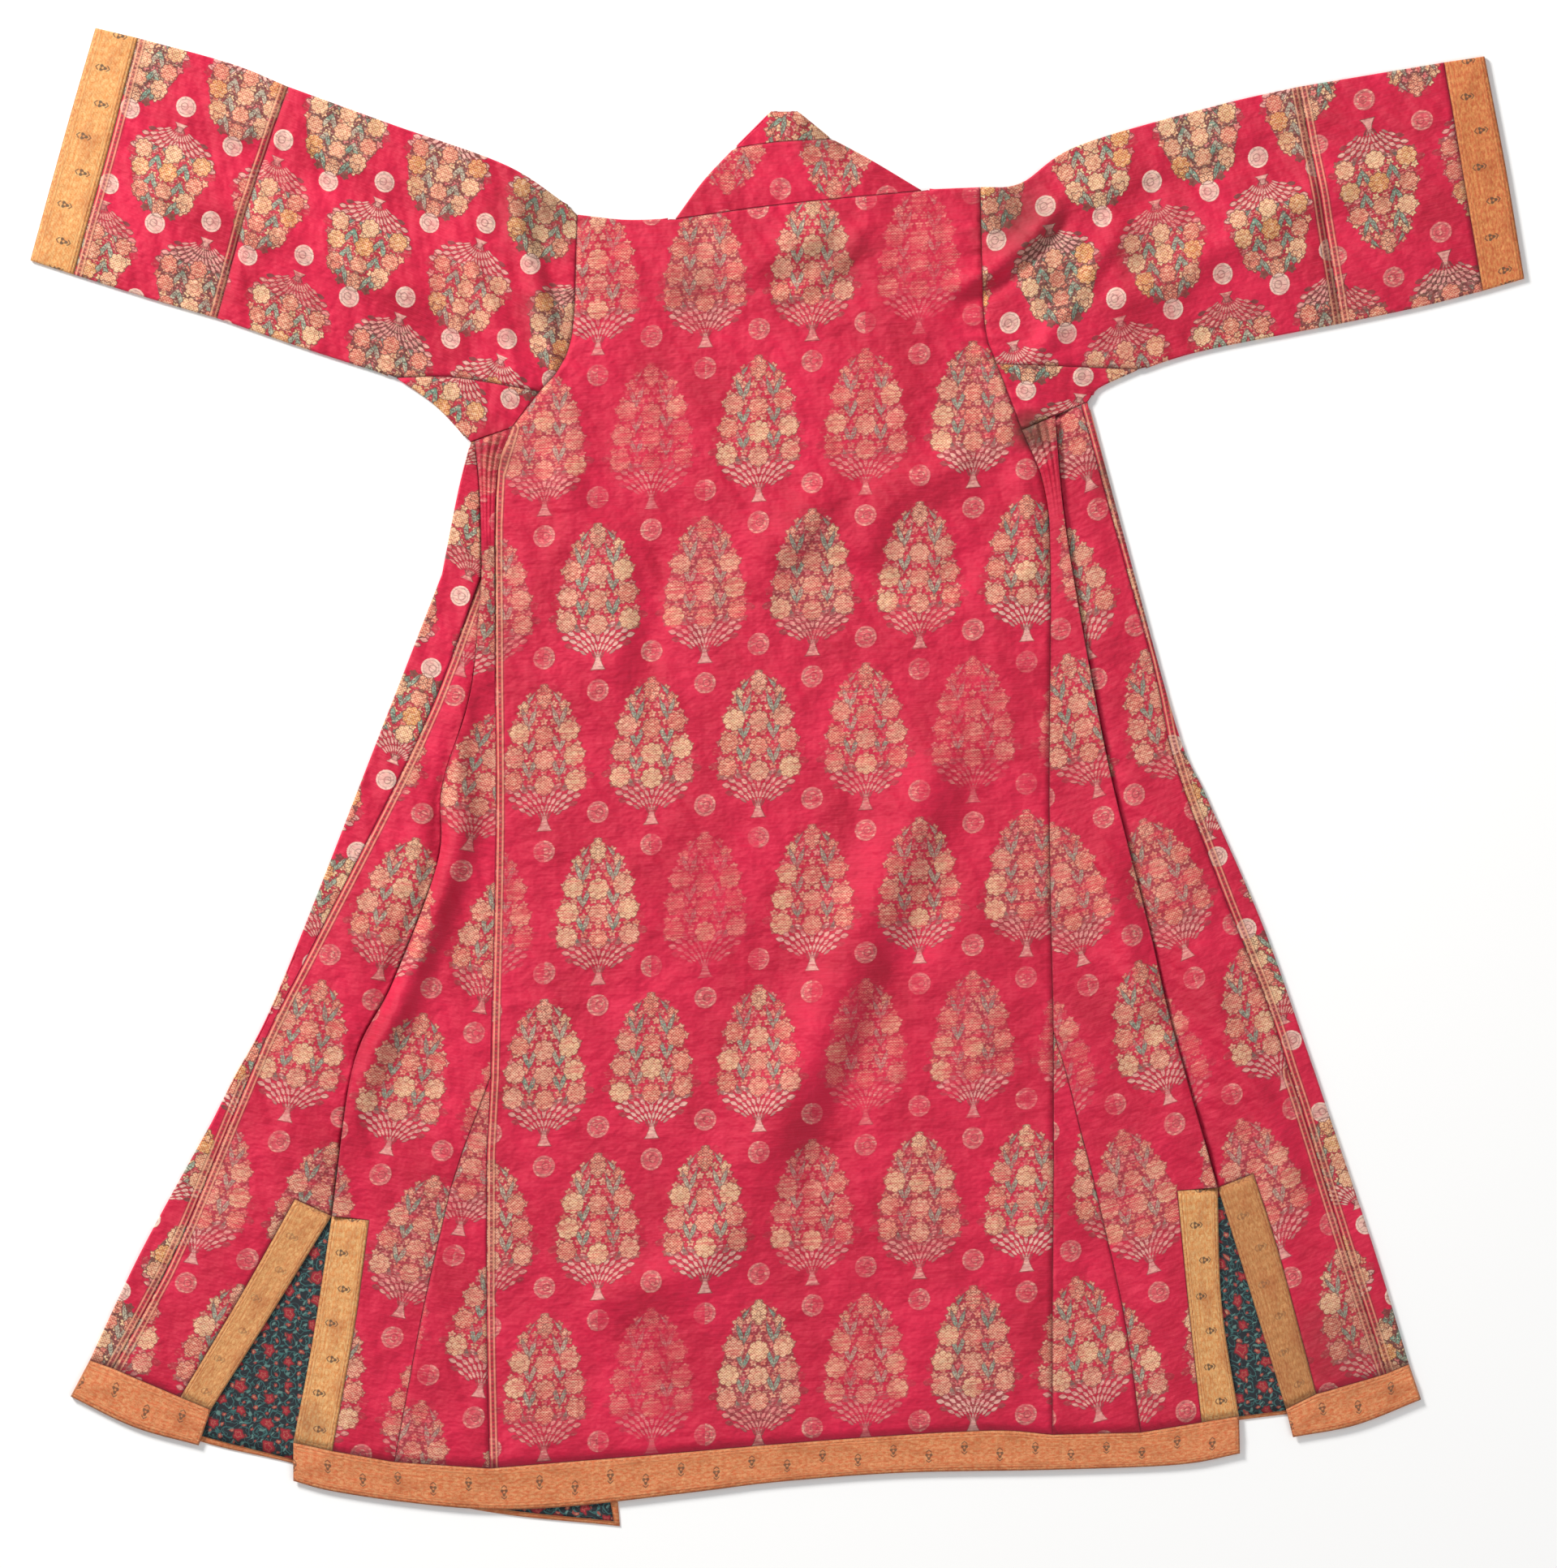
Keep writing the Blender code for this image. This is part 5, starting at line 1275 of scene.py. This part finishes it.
def new_piece(name, cloth, wall, panels, turns=(), turned_side="bottom"):
    """One object: its panels and turns welded together, and given their wall."""
    layers = [panel.grid for panel in panels]
    mesh = bpy.data.meshes.new(name)
    shape = bmesh.new()
    uv = shape.loops.layers.uv.new("cloth")
    for grid in layers + list(turns):
        rows, columns = grid.shape[:2]
        place = cloth_map(name, cloth, grid) * MM
        points = [[shape.verts.new(tuple(point * MM)) for point in row] for row in grid]
        for row in range(rows - 1):
            for column in range(columns - 1):
                corners = [(row, column), (row + 1, column), (row + 1, column + 1), (row, column + 1)]
                face = shape.faces.new([points[i][j] for i, j in corners])
                for loop, corner in zip(face.loops, corners):
                    loop[uv].uv = place[corner]
    bmesh.ops.remove_doubles(shape, verts=shape.verts, dist=2e-6)
    bmesh.ops.recalc_face_normals(shape, faces=shape.faces)
    shape.to_mesh(mesh)
    shape.free()
    mesh.shade_smooth()
    add_marks(name, mesh, panels[0].seams)
    piece = bpy.data.objects.new(name + "_cloth", mesh)
    bpy.data.collections[COLLECTION].objects.link(piece)
    mesh.materials.append(MATERIALS[LOOKS.get(name, cloth)])
    thick = piece.modifiers.new("wall", "SOLIDIFY")
    thick.thickness = wall * MM
    thick.offset = 0.0
    thick.use_even_offset = False
    thick.use_rim = True
    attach(piece, "root")
    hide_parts(name)
    width, length, area = flat_cut(layers, list(turns), turned_side)
    return piece


def upper_panel(name, left, right, top, bottom, pointed=False):
    return Panel(name, left, right, top, bottom, UPPER_LEVEL, pointed)


def lower_panel(name, left, right, top, bottom):
    return Panel(name, left, right, top, bottom, LOWER_LEVEL)


def flat_piece(name, cloth, left, right, top, bottom):
    """A piece that is all in the upper layer. Without a top it starts at a point."""
    new_piece(name, cloth, WALL, [upper_panel(name, left, right, top, bottom, top is None)])


def turned_grids(upper, lower, side):
    """The folds that join two panels along the same side."""
    hint = {"left": (-1, 0), "right": (1, 0), "top": (0, 1), "bottom": (0, -1)}[side]
    pairs = zip(upper.folded_edges(side), lower.folded_edges(side))
    return [turn_grid(above, below, hint) for above, below in pairs]


def folded_piece(name, cloth, upper_sides, lowers):
    """A piece that turns under. lowers has the sides of each panel underneath, by where it turns."""
    upper = upper_panel(name, *upper_sides)
    panels = [upper]
    turns = []
    for side, lower_sides in lowers.items():
        lower = lower_panel(name, *lower_sides)
        panels.append(lower)
        turns.extend(turned_grids(upper, lower, side))
    new_piece(name, cloth, WALL, panels, turns, next(iter(lowers)))


def tube_piece(name, cloth, *sides):
    """A sleeve piece: the same shape in both layers, joined by the folds along it."""
    upper = upper_panel(name, *sides)
    lower = lower_panel(name, *sides)
    turns = turned_grids(upper, lower, "top") + turned_grids(upper, lower, "bottom")
    new_piece(name, cloth, WALL, [upper, lower], turns)


def make_back():
    """The back, cut in one with a strip that turns over each shoulder."""
    name = "back_center"
    shoulder_left = ["fold:shoulder_left", "shoulder_end_left"]
    shoulder_right = ["shoulder_end_right", "fold:shoulder_right"]
    back = upper_panel(name, ["armhole_left", "armhole_low_left", "back_seam_left",
                              "back_low_left", "back_slit_left", "back_hem_left"],
                       ["armhole_right", "armhole_low_right", "back_seam_right",
                        "back_low_right", "back_slit_right", "back_hem_right"],
                       shoulder_left + ["neck"] + shoulder_right, ["hem_back"])
    strip_left = lower_panel(name, ["armhole_start_left"], ["band_start_left"], shoulder_left,
                             ["strip_foot_left"])
    strip_right = lower_panel(name, ["band_start_right"], ["armhole_start_right"],
                              shoulder_right, ["strip_foot_right"])
    under = strip_left.folded_edges("top") + strip_right.folded_edges("top")
    turns = [turn_grid(above, below, (0, 1))
             for above, below in zip(back.folded_edges("top"), under)]
    new_piece(name, "brocade", WALL, [back, strip_left, strip_right], turns)


def make_sides():
    flat_piece("side_back_left", "brocade",
               ["pleat_high_left", "pleat_left", "slit_top_inner_left", "slit_seam_inner_left"],
               ["back_seam_left", "gore_left", "gore_slit_left", "gore_hem_left"],
               ["side_top_left"], ["hem_side_left"])
    flat_piece("side_back_right", "brocade",
               ["back_seam_right", "gore_right", "gore_slit_right", "gore_hem_right"],
               ["pleat_right", "-slit_top_inner_right", "slit_seam_inner_right"],
               ["side_top_right"], ["hem_side_right"])
    flat_piece("side_front_left", "brocade",
               ["front_seam_left", "front_slit_seam_left", "front_hem_seam_left"],
               ["pleat_left", "-slit_top_outer_left", "slit_seam_outer_left"],
               None, ["front_side_hem_left"])
    flat_piece("side_front_right", "brocade",
               ["pleat_right", "slit_top_outer_right", "slit_seam_outer_right"],
               ["front_seam_right", "front_slit_seam_right", "front_hem_seam_right"],
               ["front_side_top_right"], ["front_side_hem_right"])
    flat_piece("gore_left", "brocade", ["gore_left", "gore_slit_left", "gore_hem_left"],
               ["back_low_left", "back_slit_left", "back_hem_left"],
               None, ["hem_gore_left"])
    flat_piece("gore_right", "brocade", ["back_low_right", "back_slit_right", "back_hem_right"],
               ["gore_right", "gore_slit_right", "gore_hem_right"],
               None, ["hem_gore_right"])


def make_fronts():
    """Each front lies underneath, turns over the outer fold and ends at a seam on top."""
    folds = ["fold:outline_high_left", "fold:outline_left", "fold:outline_slit_left",
             "fold:outline_hem_left"]
    seams = ["pleat_high_left", "front_seam_left", "front_slit_seam_left", "front_hem_seam_left"]
    armhole = ["armhole_rest_left", "armhole_low_left", "-gusset_foot_left"]
    folded_piece("front_left", "brocade",
                 (folds, seams, ["sliver_top_left"], ["front_hem_left"]),
                 {"left": (armhole + folds, ["band_seam_left"], ["front_top_left"],
                           ["under_hem_left"])})
    folds = ["fold:outline_right", "fold:outline_slit_right", "fold:outline_hem_right"]
    seams = ["front_seam_right", "front_slit_seam_right", "front_hem_seam_right"]
    armhole = ["armhole_rest_right", "armhole_low_right", "gusset_foot_right"]
    folded_piece("front_right", "brocade",
                 (seams, folds, ["sliver_top_right"], ["front_hem_right"]),
                 {"right": (["band_seam_right"], armhole + folds, ["front_top_right"],
                            ["under_hem_right"])})


def low_piece(name, cloth, wall, level, *sides):
    """A piece that is all in one hidden layer."""
    new_piece(name, cloth, wall, [Panel(name, *sides, level)])


def make_front_bands():
    low_piece("front_band_left", "band_silk", WALL, LOWER_LEVEL,
              ["band_start_left", "band_seam_left"], ["front_edge_left"],
              ["collar_foot_left"], ["band_foot_left"])
    low_piece("front_band_right", "band_silk", WALL, LOWER_LEVEL,
              ["front_edge_right"], ["band_start_right", "band_seam_right"],
              ["collar_foot_right"], ["band_foot_right"])


def make_hem_bands():
    flat_piece("hem_band_back", "band_silk", ["hem_end_left"], ["hem_end_right"], HEM_SEAMS,
               ["hem_edge"])
    fold = ["fold:front_hem_fold_left"]
    folded_piece("hem_band_front_left", "band_silk",
                 (fold, ["front_hem_end_left"],
                  ["front_hem_left", "front_side_hem_left", "front_slit_hem_left"],
                  ["front_hem_edge_left"]),
                 {"left": (fold, ["under_end_left"], ["under_hem_left", "band_foot_left"],
                           ["under_edge_left"])})
    fold = ["fold:front_hem_fold_right"]
    folded_piece("hem_band_front_right", "band_silk",
                 (["front_hem_end_right"], fold,
                  ["front_slit_hem_right", "front_side_hem_right", "front_hem_right"],
                  ["front_hem_edge_right"]),
                 {"right": (["under_end_right"], fold, ["band_foot_right", "under_hem_right"],
                            ["under_edge_right"])})


def make_slit_bands():
    """Bands along the edges of the slits, in order from the left."""
    for place, seam_first, foot in (("outer_left", True, "front_slit_hem_left"),
                                    ("inner_left", False, "hem_slit_left"),
                                    ("inner_right", True, "hem_slit_right"),
                                    ("outer_right", False, "front_slit_hem_right")):
        sides = (["slit_seam_" + place], ["slit_edge_" + place])
        if not seam_first:
            sides = sides[::-1]
        flat_piece("slit_band_" + place, "band_silk", *sides, ["slit_top_" + place], [foot])


def make_linings():
    """The fronts' lining, only where the slits and the hem's corner show it."""
    for side, first, last in (("left", "outer", "inner"), ("right", "inner", "outer")):
        low_piece("lining_front_" + side, "lining", LINING_WALL, LINING_LEVEL,
                  [f"lining_{first}_{side}"], [f"lining_{last}_{side}"],
                  ["lining_top_" + side], ["lining_hem_" + side])


def make_gussets():
    for side in SIDES:
        armhole = ["armhole_low_" + side]
        fold = [f"fold:gusset_fold_{side}", "gusset_hook_" + side]
        left, right = (fold, armhole) if side == "left" else (armhole, fold)
        sides = (left, right, ["gusset_seam_" + side], ["gusset_foot_" + side])
        folded_piece("gusset_" + side, "brocade", sides, {side: sides})


def make_sleeves():
    tube_piece("sleeve_upper_left", "brocade", ["piece_seam_left"], ["armhole_left"],
               ["fold:sleeve_top_left", "sleeve_crown_left"],
               ["fold:sleeve_under_left", "sleeve_tip_left", "gusset_seam_left"])
    tube_piece("sleeve_lower_left", "brocade", ["cuff_seam_left"], ["piece_seam_left"],
               ["fold:forearm_top_left"], ["fold:forearm_under_left"])
    tube_piece("cuff_band_left", "band_silk", ["cuff_edge_left"], ["cuff_seam_left"],
               ["fold:cuff_top_left"], ["fold:cuff_under_left"])
    tube_piece("sleeve_upper_right", "brocade", ["armhole_right"], ["piece_seam_right"],
               ["fold:sleeve_top_right"],
               ["gusset_seam_right", "sleeve_tip_right", "fold:sleeve_under_right"])
    tube_piece("sleeve_lower_right", "brocade", ["piece_seam_right"], ["cuff_seam_right"],
               ["fold:forearm_top_right"], ["fold:forearm_under_right"])
    tube_piece("cuff_band_right", "band_silk", ["cuff_seam_right"], ["cuff_edge_right"],
               ["fold:cuff_top_right"], ["fold:cuff_under_right"])


def make_collar():
    """The collar stands up from the neck and turns under along both slanted folds."""
    for name, edge, flap, head, top, foot, bottom in (
            ("collar", "collar_fold", "collar_flap", "collar_head", "collar_seam",
             "collar_foot", "neck"),
            ("collar_band", "collar_tip", "tip_flap", "tip_head", "collar_tip",
             "collar_head", "collar_seam")):
        left, right = [f"fold:-{edge}_left"], [f"fold:-{edge}_right"]
        folded_piece(name, "brocade", (left, right, [top], [bottom]), {
            "left": (left, [f"-{flap}_left"], [head + "_left"], [foot + "_left"]),
            "right": ([f"-{flap}_right"], right, [head + "_right"], [foot + "_right"])})


# The photograph's frame, in metres: what it shows across and up, and its middle
VIEW_HEIGHT = 1.5456
VIEW_CENTRE = (0.0012, -0.0064)
LENS_DISTANCE = 6.0
FLOOR_REACH = 6.0
FLOOR_SHADE = 0.97
SKY_STRENGTH = 0.44

# Studio lights. Columns: place, size across, in metres, power in watts, colour
LIGHTS = {
    "key": ((-3.4, 3.6, 2.7), 1.5, 385.0, (1.0, 0.985, 0.96)),
    "fill": ((3.0, -2.0, 4.0), 3.0, 50.0, (1.0, 1.0, 1.0)),
}


def add_camera():
    data = bpy.data.cameras.new("above")
    data.type = "PERSP"
    data.sensor_fit = "AUTO"
    data.sensor_width = 36.0
    data.lens = data.sensor_width * LENS_DISTANCE / VIEW_HEIGHT
    camera = bpy.data.objects.new("above", data)
    bpy.context.scene.collection.objects.link(camera)
    camera.location = (*VIEW_CENTRE, LENS_DISTANCE)
    bpy.context.scene.camera = camera


def add_area_light(name, place, size, power, colour):
    """A round lamp that points at the middle of the floor."""
    data = bpy.data.lights.new(name, "AREA")
    data.shape = "DISK"
    data.size = size
    data.energy = power
    data.color = colour
    lamp = bpy.data.objects.new(name, data)
    bpy.context.scene.collection.objects.link(lamp)
    lamp.location = place
    lamp.rotation_euler = (-Vector(place)).to_track_quat("-Z", "Y").to_euler()


def add_floor():
    mesh = bpy.data.meshes.new("floor")
    corners = [(-1, -1), (1, -1), (1, 1), (-1, 1)]
    mesh.from_pydata([(x * FLOOR_REACH, y * FLOOR_REACH, 0.0) for x, y in corners],
                     [], [(0, 1, 2, 3)])
    floor = bpy.data.objects.new("floor", mesh)
    bpy.context.scene.collection.objects.link(floor)
    pale = bpy.data.materials.new("floor")
    pale.use_nodes = True
    shader = pale.node_tree.nodes["Principled BSDF"]
    shader.inputs["Base Color"].default_value = (FLOOR_SHADE, FLOOR_SHADE, FLOOR_SHADE, 1.0)
    shader.inputs["Roughness"].default_value = 0.9
    shader.inputs["Specular IOR Level"].default_value = 0.1
    mesh.materials.append(pale)


def light_scene():
    world = bpy.data.worlds.new("studio")
    bpy.context.scene.world = world
    world.use_nodes = True
    sky = world.node_tree.nodes["Background"]
    sky.inputs["Color"].default_value = (1.0, 1.0, 1.0, 1.0)
    sky.inputs["Strength"].default_value = SKY_STRENGTH
    for name, (place, size, power, colour) in LIGHTS.items():
        add_area_light(name, place, size, power, colour)
    bpy.context.scene.view_settings.view_transform = "Standard"


coat = bpy.data.collections.new(COLLECTION)
bpy.context.scene.collection.children.link(coat)
MATERIALS = make_materials()
make_back()
make_sides()
make_fronts()
make_front_bands()
make_hem_bands()
make_slit_bands()
make_linings()
make_gussets()
make_sleeves()
make_collar()
add_floor()
add_camera()
light_scene()
